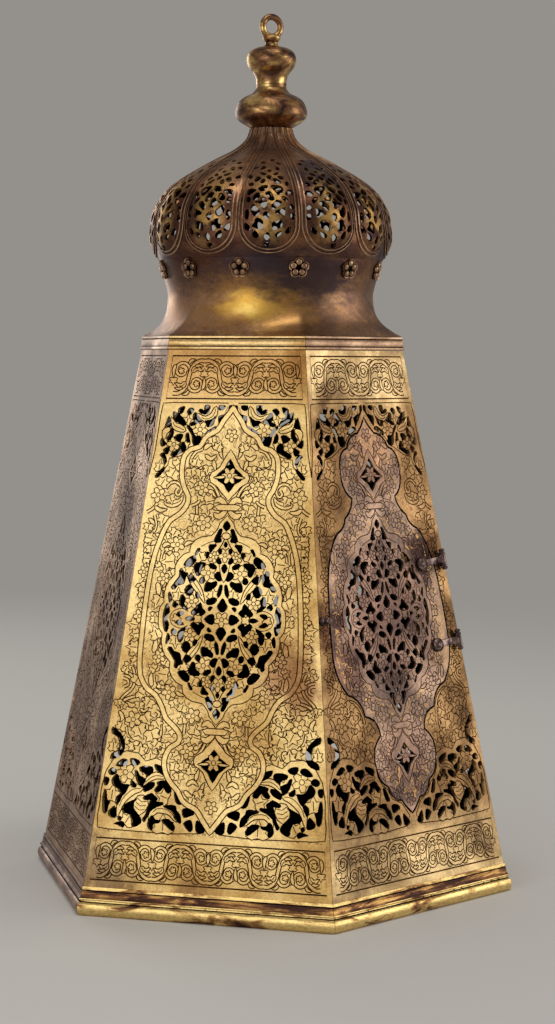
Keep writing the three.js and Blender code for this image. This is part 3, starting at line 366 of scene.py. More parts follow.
def medallion(sheet, tighter=0.0):
    """Pointed oval in the middle: a net of knotted stems, flowers, ivy leaves and split leaves."""
    middle = (0, MEDALLION_MIDDLE)
    sheet.cut(LINE, grown(MEDALLION, 4.3))
    sheet.cut(METAL, grown(MEDALLION, 3.5))
    for across, up in ((1, 1), (1, -1), (-1, 1), (-1, -1)):
        def spot(*points):
            return [(across * x, MEDALLION_MIDDLE + up * y) for x, y in points]
        over = 0 if up > 0 else math.pi
        for way in ([(25.5, 31), (19.5, 22), (14, 12)], [(4.5, 41), (2, 30), (0, 26)], [(24, 36), (30, 36)],
                    [(5, 56), (12, 54), (18, 51)], [(24.5, 5), (30, 7), (36, 4.5), (38, 0)]):
            sheet.band(LINE, smooth(spot(*way), 3, closed=False), HAIR_CUT)
        sheet.blade(spot((27, 33), (21.5, 25), (17, 19), (13, 11)), 5.4, vein=True)
        sheet.blade(spot((1, 60), (5, 53), (9, 47), (10, 42)), 4.4)
        sheet.leaf(spot((7.4, 15))[0], 7.6, over, 1.0)
        sheet.leaf(spot((32.8, 12.6))[0], 9, over, 0.9)
        sheet.leaf(spot((17, 41))[0], 8.4, over - 0.4 * across * up)
        sheet.leaf(spot((25.6, 36.4))[0], 6.8, over + math.pi, 0.9, vein=False)
        sheet.flower(spot((11.4, 32.6))[0], 6.0, 0.3)
        sheet.flower(spot((22.6, 11.8))[0], 5.2, 0.6)
        sheet.flower(spot((8.6, 43.6))[0], 4.2, 0.9)
    for up in (1, -1):
        sheet.flower((0, MEDALLION_MIDDLE + up * 45.4), 5.2)
        knot = oval((0, MEDALLION_MIDDLE + up * 58.8), 3.2, 2.4, 10)
        sheet.outlined(knot)
    for across in (1, -1):
        sheet.flower((17.4 * across, MEDALLION_MIDDLE), 3.6, 0.0, 4, open_heart=False)
        sheet.flower((33 * across, MEDALLION_MIDDLE), 3.6, 0.0, 5, open_heart=False)
    sheet.flower(middle, 5.6, 0, 5)
    for openings, copies in ((MEDALLION_OPENINGS, slice(0, 4)), (MEDALLION_ON_AXIS, slice(0, 4, 2)),
                             (MEDALLION_ON_LEVEL, slice(0, 2))):
        for opening in openings:
            for points in quarters(opening)[copies]:
                sheet.cut(HOLE, grown(smooth(placed(points, middle), 2), 0.4 - tighter))


def quarters(points):
    upside_down = [(x, -y) for x, y in points]
    return [points, flipped(points), upside_down, flipped(upside_down)]


def diamond(sheet, middle, up, across, down):
    """Small four-pointed opening in a lobed rim, with a six-petalled flower standing in it."""
    over = 1 if middle > MEDALLION_MIDDLE else -1
    rim = [(x, over * y) for x, y in whole(DIAMOND_RIM)]
    sheet.outlined(placed(rim, (0, middle)))
    half = [(0, up), (0.37 * across, 0.43 * up), (across, -0.8), (0.37 * across, -0.5 * down), (0, -down)]
    sheet.cut(HOLE, grown(smooth(placed(whole(half), (0, middle)), 2), 0.3))
    sheet.flower((0, middle + 0.4), 6.2, 0, 6)
    for side in (1, -1):
        sheet.blade([(3 * side, middle - 0.2), (7 * side, middle - 0.8), (11.8 * side, middle - 1)], 2.4)


def corners(sheet, tighter=0.0):
    """Open corners above and below the cartouche: vines that leave the frame and meet it again."""
    for side in (1, -1):
        def spot(*points):
            return [(side * x, y) for x, y in points]
        for region in (UPPER_CORNER, LOWER_CORNER):
            sheet.cut(LINE, grown(spot(*region), 2.6))
            sheet.cut(METAL, grown(spot(*region), 1.8))
        sheet.blade(spot((12.4, 341), (14.5, 334), (20.5, 331.6), (27, 336)), 5.2, vein=True)
        sheet.blade(spot((34, 323), (39, 325), (43, 327), (45.6, 333)), 5.6, vein=True)
        sheet.blade(spot((45.6, 325), (49.6, 322), (50, 316)), 4.6)
        sheet.leaf((31.6 * side, 312.4), 5.6, -1.2 * side, 1.2, vein=False)
        sheet.leaf((34 * side, 327.6), 7.4, 0.2 * side, 0.9)
        sheet.leaf((52.6 * side, 294), 8.6, 0.15 * side, 0.75)
        sheet.flower((23.6 * side, 324.2), 6.0)
        sheet.flower((42.5 * side, 313.2), 5.4, 0.4)
        sheet.blade(spot((24.5, 48), (30, 55.6), (40, 56.4), (45.4, 48)), 6.6, 0.5, vein=True)
        sheet.blade(spot((50, 70), (58, 69), (65.6, 61), (68.4, 49)), 7.4, vein=True)
        sheet.blade(spot((33.6, 78.4), (41, 79.6), (47, 76.4), (50.6, 71)), 5.0, vein=True)
        sheet.leaf((34.4 * side, 40.5), 12.5, 0, 1.15)
        sheet.leaf((31.6 * side, 64), 9.4, -1.25 * side, 1.05)
        sheet.leaf((73.4 * side, 60.6), 11.5, 0.1 * side, 1.0)
        sheet.leaf((62.4 * side, 44.6), 9.8, 0.5 * side, 1.0)
        sheet.leaf((51 * side, 84.4), 6.4, math.pi - 0.6 * side, 0.8)
        sheet.flower((64 * side, 80.6), 7.2, 0.2)
        bud = whole([(0, 7.4), (3.6, 6), (5.6, 1.8), (4.4, -3.4), (0, -8.4)])
        sheet.outlined(placed(bud, (51.5 * side, 58.4), 0.25 * side))
        for row in (-2, 1, 4):
            scale = placed([(-3.8, row), (0, row - 1.5), (3.8, row)], (51.5 * side, 58.4), 0.25 * side)
            sheet.band(LINE, scale, HAIR_CUT)
        sheet.leaf((74.4 * side, 95.4), 9, 0.05 * side, 0.75)
        for opening in CORNER_OPENINGS:
            sheet.cut(HOLE, grown(smooth(spot(*opening), 2), 0.25 - tighter))


def distance(point, way):
    found = []
    for (x0, y0), (x1, y1) in zip(way, way[1:]):
        dx, dy = x1 - x0, y1 - y0
        t = max(0, min(1, ((point[0] - x0) * dx + (point[1] - y0) * dy) / (dx * dx + dy * dy or 1)))
        found.append(math.hypot(point[0] - x0 - t * dx, point[1] - y0 - t * dy))
    return min(found)


def inside(point, outline):
    x, y = point
    found = False
    for (x0, y0), (x1, y1) in zip(outline, outline[1:] + outline[:1]):
        if (y0 > y) != (y1 > y) and x < x0 + (y - y0) * (x1 - x0) / (y1 - y0):
            found = not found
    return found


# The engraved ground round the medallion, its upper right quarter. A flower is its middle and radius. A leaf
# is its stalk's end, its length and its heading in degrees from upright towards the panel's edge. A blade is
# its width and its way.
FLOWERS = [(0, 320.3, 4.8), (19.6, 282.6, 5.4), (16.9, 257.8, 5.7), (35.3, 242, 5.6), (44.2, 217.6, 4.8)]
LEAVES = [
    (10.5, 309.5, 7, -25), (25.2, 298, 7.5, -10), (28.6, 296, 8, 190), (21.4, 295.4, 7.5, 180),
    (15.8, 298, 7, 172), (25.5, 285, 7, 60), (26, 278.4, 6.5, 130), (17.5, 276.2, 7.5, 75),
    (16.6, 272.4, 9.5, -78), (15.6, 270.4, 9, 190), (9, 266.6, 8, 168), (24, 263.4, 7, 170),
    (25.6, 255, 7.5, 195), (32.4, 247.6, 7, -30), (41.8, 239.4, 6, 186), (38, 236.4, 8.4, 172),
    (37.2, 230, 10.5, 96), (39.8, 223.4, 7, 205), (46.4, 226.6, 6.4, 118), (45.8, 204.4, 9.4, 155),
    (41.6, 211.6, 6.4, 196), (41, 259.6, 7, -160), (36.6, 252.4, 7.4, 150), (44.6, 249.6, 6.4, 190),
    (49, 193.5, 6.8, 180), (4.6, 332.4, 6, 160), (14.6, 318.6, 6.6, -165), (29.6, 272.4, 6.6, 160),
    (12.6, 289.6, 5.2, 110),
]
BLADES = [
    (3.6, [(20.2, 309.5), (16.5, 313.2), (12.3, 314)]), (3.4, [(19, 306.5), (14.5, 303.2), (9.8, 306.5)]),
    (3.2, [(12.4, 302.5), (11.6, 298.5), (10.2, 294.2)]), (3.4, [(15.4, 280), (12.4, 279.6), (8.8, 275.6)]),
    (3, [(30.4, 241), (27.6, 243.4), (23.6, 243.8)]), (3.2, [(46.6, 239.8), (43.4, 242.2), (40.6, 241.4)]),
    (3, [(37, 225.8), (39.2, 223.6), (42, 220.6)]), (3.6, [(48.2, 239), (49.4, 233.4), (48.8, 228)]),
    (4, [(48.8, 215), (47.4, 209.6), (47.6, 203.6)]), (3.2, [(40.4, 217), (40.8, 212), (43, 208.4)]),
    (3, [(6.6, 314), (7.6, 308), (5.4, 303)]),
]
STEMS = [
    [(21, 309.8), (25, 308.4), (28, 304.8), (29.2, 301), (28, 297.2), (25, 295), (21.8, 296), (20.6, 299)],
    [(15.6, 286), (12, 284.6), (9, 281), (6.6, 276)],
    [(22.8, 270.5), (22.3, 262)],
    [(31.4, 268.6), (30.8, 262), (27.6, 257.6), (22.6, 256.8)],
    [(35.4, 263), (31, 256.5), (28.2, 252.6), (27.2, 248.6), (22.6, 245.2)],
    [(43.8, 212.8), (43, 206), (41.8, 199.5), (42.8, 194), (46, 190)],
    [(19.6, 277.2), (22, 272), (27, 269.6)],
    [(40.2, 239.6), (44, 236), (45, 231)],
    [(38, 236), (36, 231), (37.6, 225.4)],
    [(19.6, 288), (17, 293), (12.6, 292)],
]

# The ground between the cartouche and the panel's edge, the whole right side of it.
SIDE_FLOWERS = [(51.8, 276.8, 5.6), (59, 222, 4.4), (60.4, 190.5, 4.8), (60.5, 117.8, 6)]
SIDE_LEAVES = [
    (50.5, 283.4, 8.6, -30), (43, 289.6, 9.5, -28), (40.5, 297.4, 8, -55), (43.4, 276.6, 7, -160),
    (46, 262, 8.5, 160), (59.6, 246.4, 8.4, -98), (60, 238.6, 7.6, -86), (55, 240.4, 7.4, 182),
    (60, 231.6, 7.4, -92), (61.4, 213.6, 7, 205), (62, 207.6, 8, -92), (60.6, 200.6, 7.6, -120),
    (61.4, 184, 8.6, 80), (60.6, 168.4, 8.6, 88), (66, 157, 6.6, 160), (60.8, 143.4, 8.4, -28),
    (58.2, 137.6, 8.2, -120), (48.6, 132.4, 8.4, 150), (52.8, 121.4, 9, 215), (70, 110.4, 7.6, -20),
    (56.8, 113.6, 10.4, 205), (47, 110.6, 11, 200), (44.2, 118, 8, -148), (30.2, 113.6, 8.4, 128),
    (59.8, 101.8, 8.4, 195), (46.4, 88.8, 9, 0), (55, 94, 8.4, -8), (36, 102.4, 8, 190), (35.4, 96, 7, 120),
    (57.4, 256, 7, 170), (67.4, 129, 6, 150), (60.4, 178.4, 7, 100), (66.4, 101, 7.2, -10),
    (72.8, 131, 6, 185), (41.2, 103.4, 7.4, 150), (56.6, 130, 6.8, 175), (69.4, 150.6, 6, -30),
    (60, 160, 7, 130),
]
SIDE_BLADES = [
    (5.2, [(47.5, 271.8), (42, 270.6), (36, 272.4), (33.4, 277)]),
    (3.2, [(52.6, 249.2), (47.6, 247.6), (43.6, 250.8)]), (3.4, [(54.2, 268.8), (50, 266), (44.4, 266.6)]),
    (3.2, [(58.6, 217), (57.4, 211), (55, 206.4)]), (3.2, [(60, 176), (64, 173), (67.4, 170.8)]),
    (3.8, [(67, 163.2), (63, 163.8), (59.2, 160.4)]), (3.4, [(67.2, 129.8), (62, 127.4), (56.8, 130.4)]),
    (3.2, [(71.6, 123.6), (68.6, 118.6), (70.6, 113.2)]), (3, [(58, 260), (54.6, 257), (53.4, 252)]),
    (3.4, [(52.4, 100.6), (49.8, 98.4), (51, 93.4)]),
]
SIDE_STEMS = [
    [(46.5, 281), (44, 284.8), (40, 286.2), (35.8, 284), (34.8, 280.2), (36.8, 277), (39, 278.6),
     (37.6, 281.6)],
    [(53.8, 262.4), (52.2, 257), (53, 251.6), (56.8, 248.6), (60.8, 247.6)],
    [(52, 271), (55.4, 267), (59.6, 264.4)],
    [(70.4, 150.4), (65, 149.4), (61.8, 146), (61.6, 142), (64, 138), (69, 133.6), (72.6, 128.4)],
    [(70, 146.4), (66.4, 145.2), (66, 142), (69, 140.4)],
    [(72, 125.6), (68.4, 130.6), (63, 133.2), (56.6, 134.6)],
    [(54.8, 132.4), (51.4, 129.8), (50.6, 126.4), (53.2, 123.8), (55.8, 125.6)],
    [(50.4, 133.8), (45, 131.6), (40.6, 127), (38.2, 121), (37.6, 116)],
    [(66.6, 158.4), (63, 153.6), (61.4, 149)],
    [(40.4, 117.4), (39.6, 109), (41.2, 101), (39.2, 93.4)],
    [(65.4, 113.6), (64.4, 107), (60.2, 102.6)],
    [(56.4, 122.4), (51, 116.6), (49.8, 110.6)],
    [(44.4, 124.6), (41.6, 122.6), (43, 119.6)],
    [(57.8, 196.6), (58.6, 186)],
    [(54.4, 240), (56.6, 232), (55.8, 224)],
]


ENGRAVED_STEM = 1.3


def engraved(sheet, leaves, flowers, blades, stems, has_room):
    """Flowers, ivy leaves and split leaves on double-line stems, on both halves of the sheet."""
    for way in stems:
        if all(has_room(point, 1.5) for point in way):
            for side in (way, flipped(way)):
                sheet.stem(smooth(side, 3, closed=False), ENGRAVED_STEM)
    for width, way in blades:
        if has_room(way[1], 2):
            for side in (way, flipped(way)):
                sheet.blade(side, width, vein=width > 4)
    for x, y, length, heading in leaves:
        turn = -math.radians(heading)
        if has_room((x - 0.5 * length * math.sin(turn), y + 0.5 * length * math.cos(turn)), 3):
            for side in (1, -1):
                sheet.leaf((side * x, y), length, side * turn)
    for x, y, radius in flowers:
        if has_room((x, y), 3):
            for side in (1, -1) if x else (1,):
                sheet.flower((side * x, y), radius, 0.2 * side if x else 0)


def ground(sheet, has_room):
    """The engraving round the medallion, above it and upside down below it."""
    def down(y):
        return 2 * MEDALLION_MIDDLE - y
    engraved(sheet, LEAVES, FLOWERS, BLADES, STEMS, has_room)
    engraved(
        sheet,
        [(x, down(y), length, 180 - heading) for x, y, length, heading in LEAVES],
        [(x, down(y), radius) for x, y, radius in FLOWERS],
        [(width, [(x, down(y)) for x, y in way]) for width, way in BLADES],
        [[(x, down(y)) for x, y in way] for way in STEMS],
        has_room,
    )


def anywhere(point, room):
    return True


def in_cartouche(point, room):
    frame_line = whole(CARTOUCHE)
    return inside(point, frame_line) and distance(point, frame_line) >= room + 2


def in_leaf(point, room):
    return inside(point, LEAF) and distance(point, LEAF) >= room


def ties(sheet):
    """Knots with a pair of split leaves above and below the medallion's points."""
    for middle, up in ((268.5, 1), (111.5, -1)):
        for side in (1, -1):
            for way in (up, -up):
                split = [(0, middle + way), (6 * side, middle + 6 * way), (10.5 * side, middle + 3.5 * way)]
                sheet.blade(split, 4.6, 0.45)
        knot = whole([(0, 2.6), (6, 2.6), (9.6, 1.2), (7, -1.8), (0, -1.8)])
        sheet.outlined(placed(knot, (0, middle)))


BORDER_INSET = 1.5
BORDER_WIDTH = 2.9


def border(sheet):
    """A plain band along the inside of the cartouche, between two lines."""
    middle = grown(smooth(whole(CARTOUCHE), 2), -BORDER_INSET)
    for kind, across in ((LINE, BORDER_WIDTH + 2 * GRAVER), (METAL, BORDER_WIDTH)):
        for quad in ribbon(middle + middle[:2], across)[:-1]:
            sheet.cut(kind, quad)


VINE_WAVE = [(0, -11.6), (4, -11.7), (8.4, -9), (11, -4), (13, 4), (15.6, 9), (20, 11.7), (24, 11.6)]
VINE_STEM = 1.9
CURL_STEM = 1.5


def frieze(sheet, low, high):
    """Framed strip across the whole face: a waving vine with curls, split leaves and flowers."""
    middle = (low + high) / 2
    low, high = low + 1.6, high - 1.6
    frame_line = [(half_width(low) - 3.8, low), (half_width(high) - 3.8, high)]
    frame_line += flipped(frame_line)[::-1]
    sheet.cut(LINE, frame_line)
    sheet.cut(METAL, grown(frame_line, -1.3 * GRAVER))
    reach = half_width(middle) - 7
    units = round(reach / 23)
    for i in range(units):
        for side in (1, -1):
            up = 1 if i % 2 == 0 else -1
            scale = reach / units / 24

            def spot(*points, over=1):
                centred = [(12 + over * (x - 12), over * y) for x, y in points]
                return [(side * (i * 24 + x) * scale, middle + up * y) for x, y in centred]
            for over in (1, -1):
                curl = []
                for t in range(15):
                    angle = math.radians(172 + 26 * t)
                    swing = 5.9 - 3.5 * (t / 14) ** 1.3
                    curl.append((17.6 + 1.03 * swing * math.cos(angle), -4.9 + swing * math.sin(angle)))
                sheet.stem(smooth(spot(*curl, over=over), 2, closed=False), CURL_STEM)
            wave = spot(*VINE_WAVE)
            sheet.stem(smooth(wave, 4, closed=False), VINE_STEM)
            for over in (1, -1):
                sheet.flower(spot((18.2, -4.6), over=over)[0], 2.5, 0.3, open_heart=False)
                sheet.blade(spot((14.2, 3.2), (17.4, 6.6), (22.6, 4.2), over=over), 4.0, 0.4, vein=True)
                sheet.blade(spot((16.4, 7.6), (19.6, 8.4), (23.2, 7.6), over=over), 2.2)
                sheet.blade(spot((12.6, -9.4), (10.6, -12), (7, -12.6), over=over), 2.4, 0.4)
                sheet.blade(spot((22.6, -9.4), (24.2, -5), (23.8, 0.4), over=over), 2.8)
                sheet.leaf(spot((24, 0.6), over=over)[0], 5.4, 0 if up * over > 0 else math.pi, vein=False)


def covered(outline, points):
    """Which of the points the outline goes round, anticlockwise."""
    x, y = points[:, 0], points[:, 1]
    turns = np.zeros(len(points), int)
    for (x0, y0), (x1, y1) in zip(outline, outline[1:] + outline[:1]):
        side = (x1 - x0) * (y - y0) - (x - x0) * (y1 - y0)
        turns += (y0 <= y) & (y < y1) & (side > 0)
        turns -= (y1 <= y) & (y < y0) & (side < 0)
    return turns > 0


def worked(sheet, mirror_line=True, guides=()):
    """The sheet's front as a flat bmesh in its own millimetres, each face on the slot of its kind."""
    cuts = [cut for cut in sheet.cuts if not mirror_line or max(x for x, _ in cut[1]) > 0]
    points = [Vector(p) for _, outline in cuts for p in outline]
    edges = []
    for _, outline in cuts:
        first = len(edges)
        edges += [(first + i, first + (i + 1) % len(outline)) for i in range(len(outline))]
    if mirror_line:
        edges.append((len(points), len(points) + 1))
        points += [Vector((0, -50)), Vector((0, 450))]
    for way in guides:
        edges += [(len(points) + i, len(points) + i + 1) for i in range(len(way) - 1)]
        points += [Vector(p) for p in way]
    places, _, triangles, *_ = delaunay_2d_cdt(points, edges, [], 0, 1e-3, False)
    flat = np.array([tuple(p) for p in places])
    triangles = np.array(triangles)
    middles = flat[triangles].mean(axis=1)
    state = np.full(len(triangles), HOLE)
    for kind, outline in cuts:
        low, high = np.min(outline, axis=0), np.max(outline, axis=0)
        near = np.nonzero(((middles > low) & (middles < high)).all(axis=1))[0]
        near = near[covered(outline, middles[near])]
        if kind in (LINE, RIB):
            near = near[(state[near] == METAL) | (state[near] == GROUND)]
        state[near] = kind
    if mirror_line:
        state[middles[:, 0] < 0] = HOLE
    bm = bmesh.new()
    verts = [bm.verts.new((x, y, 0)) for x, y in flat]
    for triangle, kind in zip(triangles, state):
        if kind != HOLE:
            face = bm.faces.new([verts[i] for i in triangle])
            face.material_index = {METAL: ON_FRONT, LINE: ON_CUTS, RIB: ON_RIBS, GROUND: ON_GROUND}[kind]
    bmesh.ops.delete(bm, geom=[v for v in bm.verts if not v.link_faces], context="VERTS")
    if mirror_line:
        bmesh.ops.mirror(bm, geom=bm.verts[:] + bm.edges[:] + bm.faces[:], axis="X", merge_dist=1e-3)
        bmesh.ops.recalc_face_normals(bm, faces=bm.faces)
    return bm


def new_verts(made):
    return [g for g in made["geom"] if isinstance(g, bmesh.types.BMVert)]


def new_faces(made):
    return [g for g in made["geom"] if isinstance(g, bmesh.types.BMFace)]


def moved_out(bm, faces, by):
    """Pushes faces in or out with walls round them. The sheet's own open rims get no wall."""
    rims = [edge for face in faces for edge in face.edges if edge.is_boundary]
    made = bmesh.ops.extrude_face_region(bm, geom=faces)
    bmesh.ops.translate(bm, verts=new_verts(made), vec=(0, 0, by))
    bmesh.ops.delete(bm, geom=faces, context="FACES")
    bmesh.ops.delete(bm, geom=list({face for edge in rims for face in edge.link_faces}), context="FACES")


def thick(bm, thickness, side_trim=0.0, edge_at=None, rise=None):
    """Gives worked sheet its thickness and sinks the engraved faces. Sheet with ribs that rise is bent later,
    so its back keeps all its faces. The back of other sheet is filled again with few."""
    if next(iter(bm.faces)).normal.z < 0:
        bmesh.ops.reverse_faces(bm, faces=bm.faces)
    lines = [f for f in bm.faces if f.material_index == ON_CUTS]
    if rise is None:
        moved_out(bm, lines, -GRAVER_DEPTH)
        rims = [edge for edge in bm.edges if edge.is_boundary]
        back = new_verts(bmesh.ops.extrude_edge_only(bm, edges=rims))
        for vert in back:
            vert.co.z = -thickness
            if edge_at:
                vert.co.x *= 1 - side_trim / edge_at(vert.co.y)
        bmesh.ops.remove_doubles(bm, verts=back, dist=1e-5)
        bmesh.ops.dissolve_degenerate(bm, dist=1e-5, edges=[edge for edge in bm.edges if edge.is_valid])
        made = bmesh.ops.triangle_fill(bm, use_beauty=True, normal=(0, 0, -1),
                                       edges=[edge for edge in bm.edges if edge.is_boundary])
        for face in new_faces(made):
            face.material_index = ON_BACK
    else:
        ribs = [f for f in bm.faces if f.material_index == ON_RIBS]
        made = bmesh.ops.extrude_face_region(bm, geom=bm.faces[:], use_keep_orig=True)
        bmesh.ops.translate(bm, verts=new_verts(made), vec=(0, 0, -thickness))
        for face in new_faces(made):
            face.material_index = ON_BACK
        moved_out(bm, lines, -GRAVER_DEPTH)
        moved_out(bm, ribs, rise)
    bmesh.ops.recalc_face_normals(bm, faces=bm.faces)
    return bm


def linear(hex_colour):
    def channel(value):
        value /= 255
        return value / 12.92 if value <= 0.04045 else ((value + 0.055) / 1.055) ** 2.4
    return tuple(channel(int(hex_colour[i:i + 2], 16)) for i in (1, 3, 5)) + (1.0,)


def add(tree, kind, links, **settings):
    """A node with its settings. links gives its inputs, by name or number, a value or a socket."""
    node = tree.nodes.new("ShaderNode" + kind)
    for name, value in settings.items():
        setattr(node, name, value)
    for name, value in links.items():
        if isinstance(value, bpy.types.NodeSocket):
            tree.links.new(value, node.inputs[name])
        else:
            node.inputs[name].default_value = value
    return node


def ramp(tree, source, stops):
    node = add(tree, "ValToRGB", {"Fac": source})
    elements = node.color_ramp.elements
    while len(elements) < len(stops):
        elements.new(0.5)
    for element, (place, colour) in zip(elements, stops):
        element.position = place
        element.color = linear(colour) if isinstance(colour, str) else (colour, colour, colour, 1)
    return node.outputs["Color"]


def mix(tree, share, first, second, blend="MIX"):
    node = add(tree, "Mix", {0: share, 6: first, 7: second}, data_type="RGBA", blend_type=blend)
    return node.outputs[2]


GRAIN = 4
GRIT = 1.7
HAMMER_MARK = 9
TENDRIL_CURL = 9
DENT_DEPTH = 0.25 * MM


def maths(tree, operation, *values):
    return add(tree, "Math", dict(enumerate(values)), operation=operation).outputs[0]


def noise(tree, place, size, detail, **more):
    """Noise with spots of about the size, in millimetres."""
    links = {"Vector": place, "Scale": 1 / (size * MM), "Detail": detail, **more}
    return add(tree, "TexNoise", links).outputs["Fac"]


def slope(tree, value, start, end):
    """0 before the start, 1 past the end and even between them."""
    return add(tree, "MapRange", {"Value": value, "From Min": start, "From Max": end}).outputs[0]


def brass(name, bright, middle, dark, worn=0.5, patch=60.0, roughness=(0.28, 0.5), dents=0.25, belt=None,
          streak=1.0, stains=(), smear=1.0, edge=0.16, tendrils=None):
    """Aged brass, bright where hands kept it, with brown and violet oxide in clouds of the size of patch. The
    oxide gains as worn grows. A belt is a height range with a tint. A stain is its middle, radius, tint, way
    of mixing and strength, and smear squeezes it in height; some stains are real stains and some are painted
    highlights, reflections and shadows. Tendrils are the colour of fine graved lines."""
    material = bpy.data.materials.new(name)
    material.use_nodes = True
    tree = material.node_tree
    shader = tree.nodes["Principled BSDF"]
    place = add(tree, "TexCoord", {}).outputs["Object"]
    drawn = add(tree, "VectorMath", {0: place, 1: (1, 1, streak)}, operation="MULTIPLY").outputs[0]
    clouds = noise(tree, drawn, patch, 6.0, Roughness=0.62, Distortion=0.6)
    grain = noise(tree, drawn, GRAIN, 4.0, Roughness=0.7)
    tone = ramp(tree, clouds, [(worn - edge, dark), (worn, middle), (worn + edge, bright)])
    freckled = mix(tree, 0.35, tone, ramp(tree, grain, [(0.3, 0.35), (0.62, 1.0)]), "MULTIPLY")
    grit = noise(tree, place, GRIT, 2.0, Roughness=0.6)
    freckled = mix(tree, 0.3, freckled, ramp(tree, grit, [(0.36, 0.4), (0.6, 1.12)]), "MULTIPLY")
    if belt:
        low, high, tint = belt
        up = add(tree, "SeparateXYZ", {0: place}).outputs["Z"]
        wavy = maths(tree, "MULTIPLY_ADD", clouds, 45 * MM, up)
        above = slope(tree, wavy, (low + 10) * MM, (low + 35) * MM)
        below = slope(tree, wavy, (high + 35) * MM, (high + 10) * MM)
        share = maths(tree, "MULTIPLY", above, below)
        freckled = mix(tree, share, freckled, mix(tree, 1.0, freckled, linear(tint), "MULTIPLY"))
    for at, radius, tint, kind, strength in stains:
        offset = add(tree, "VectorMath", {0: place, 1: at * MM}, operation="SUBTRACT").outputs[0]
        smeared = add(tree, "VectorMath", {0: offset, 1: (1, 1, smear)}, operation="MULTIPLY").outputs[0]
        away = add(tree, "VectorMath", {0: smeared}, operation="LENGTH").outputs["Value"]
        rags = noise(tree, smeared, 0.55 * radius, 7.0, Roughness=0.72)
        ragged = maths(tree, "MULTIPLY_ADD", rags, 2.2 * radius * MM, away)
        share = slope(tree, ragged, 2.1 * radius * MM, 1.55 * radius * MM)
        freckled = mix(tree, share, freckled, mix(tree, strength, freckled, linear(tint), kind))
    if tendrils:
        swirl = noise(tree, place, TENDRIL_CURL, 0.6, Roughness=0.5, Distortion=1.1)
        level = maths(tree, "PINGPONG", swirl, 0.075)
        share = maths(tree, "MULTIPLY", slope(tree, level, 0.022, 0.01), 0.65)
        freckled = mix(tree, share, freckled, linear(tendrils))
    tree.links.new(freckled, shader.inputs["Base Color"])
    shader.inputs["Metallic"].default_value = 1.0
    rough = add(tree, "MapRange", {"Value": clouds, "From Min": worn - 0.2, "From Max": worn + 0.2,
                                   "To Min": roughness[1], "To Max": roughness[0]}).outputs[0]
    wiped = maths(tree, "MULTIPLY", grain, 0.16)
    tree.links.new(maths(tree, "ADD", rough, wiped), shader.inputs["Roughness"])
    surface = maths(tree, "ADD", noise(tree, place, HAMMER_MARK, 3.0), grain)
    bump = add(tree, "Bump", {"Height": surface, "Strength": dents, "Distance": DENT_DEPTH}).outputs["Normal"]
    tree.links.new(bump, shader.inputs["Normal"])
    return material


def on_side(k):
    """From a face's own millimetres, across, up and out, to the lantern's millimetres on side k."""
    return (
        Matrix.Rotation(k * 2 * math.pi / SIDES, 4, "Z")
        @ Matrix.Translation((0, -FOOT_RADIUS * FLAT, FOOT_HEIGHT))
        @ Matrix.Rotation(math.pi / 2 - LEAN, 4, "X")
    )


def sheet_brass(name, bright, middle, dark, tendrils="#6A4A30", **how):
    """A tone for plain sheet, and the same with the graver's fine tendrils all over it."""
    return (brass(name, bright, middle, dark, **how),
            brass(name + ", ground full of graver tendrils", bright, middle, dark, tendrils=tendrils, **how))


gilt = sheet_brass(
    "gilt brass, rubbed bright", "#F4D694", "#D6AE6A", "#966C4A", worn=0.42, patch=85,
    belt=(364, 420, "#DCC8BC"),
    stains=[(on_side(5) @ Vector((52, 150, 0)), 30, "#BCA4B4", "MULTIPLY", 0.85),
            (on_side(5) @ Vector((-80, 10, 0)), 30, "#5E4038", "MIX", 0.72)])
mauve = sheet_brass("gilt brass, under violet oxide", "#DAB89A", "#B09078", "#80685C", worn=0.5, patch=70,
                    roughness=(0.36, 0.55))
door_side = sheet_brass(
    "gilt brass, half tarnished", "#EACA94", "#BC9E70", "#7C6450", worn=0.45, patch=45,
    belt=(60, 358, "#C6B6AC"),
    stains=[(on_side(0) @ Vector((-62, 186, 0)), 20, "#9A8896", "MULTIPLY", 0.85),
            (on_side(0) @ Vector((52, 236, 0)), 14, "#9A8690", "MULTIPLY", 0.85)])
far_side = sheet_brass("gilt brass, kept from the hand", "#CBA76A", "#A07E52", "#6E523E", worn=0.48, patch=70)
graved = brass("brass, oxide in graver cuts", "#7A5426", "#5E3E1E", "#3E2A18", worn=0.5, patch=20,
               roughness=(0.5, 0.65))
# Near-black brass under soot. A flush band of it round the door leaf's edge is also painted shadow for the
# gap.
soot_and_painted_shadow = brass("brass, under lamp soot, also painted shadow", "#241A12", "#15100C", "#0C0908", worn=0.55, patch=30,
              roughness=(0.6, 0.75))


def finished(name, bm, materials, body, slot, *nodes):
    """Turns a bmesh in millimetres into a piece of the lantern that stands for its CAD nodes."""
    bmesh.ops.scale(bm, vec=(MM, MM, MM), verts=bm.verts)
    mesh = bpy.data.meshes.new(name)
    bm.to_mesh(mesh)
    bm.free()
    return piece_of(name, mesh, materials, body, slot, *nodes)


def piece_of(name, mesh, materials, body, slot, *nodes):
    for material in materials:
        mesh.materials.append(material)
    piece = bpy.data.objects.new(name, mesh)
    bpy.context.scene.collection.objects.link(piece)
    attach(piece, body)
    if nodes:
        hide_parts(*nodes)
    return piece


MITRE = SEAT_GAP / 2 / FLAT
face_outline = [
    (half_width(PANEL_FOOT) - MITRE, PANEL_FOOT), (half_width(SLANT) - MITRE, SLANT),
    (-half_width(SLANT) + MITRE, SLANT), (-half_width(PANEL_FOOT) + MITRE, PANEL_FOOT),
]
back_trim = SHEET * math.tan(math.pi / SIDES)
FRIEZES = ((344, 379), (3, 36.5))
GROUND_FOOT, GROUND_HEAD = 39, 342
PLAIN_EDGE = 5


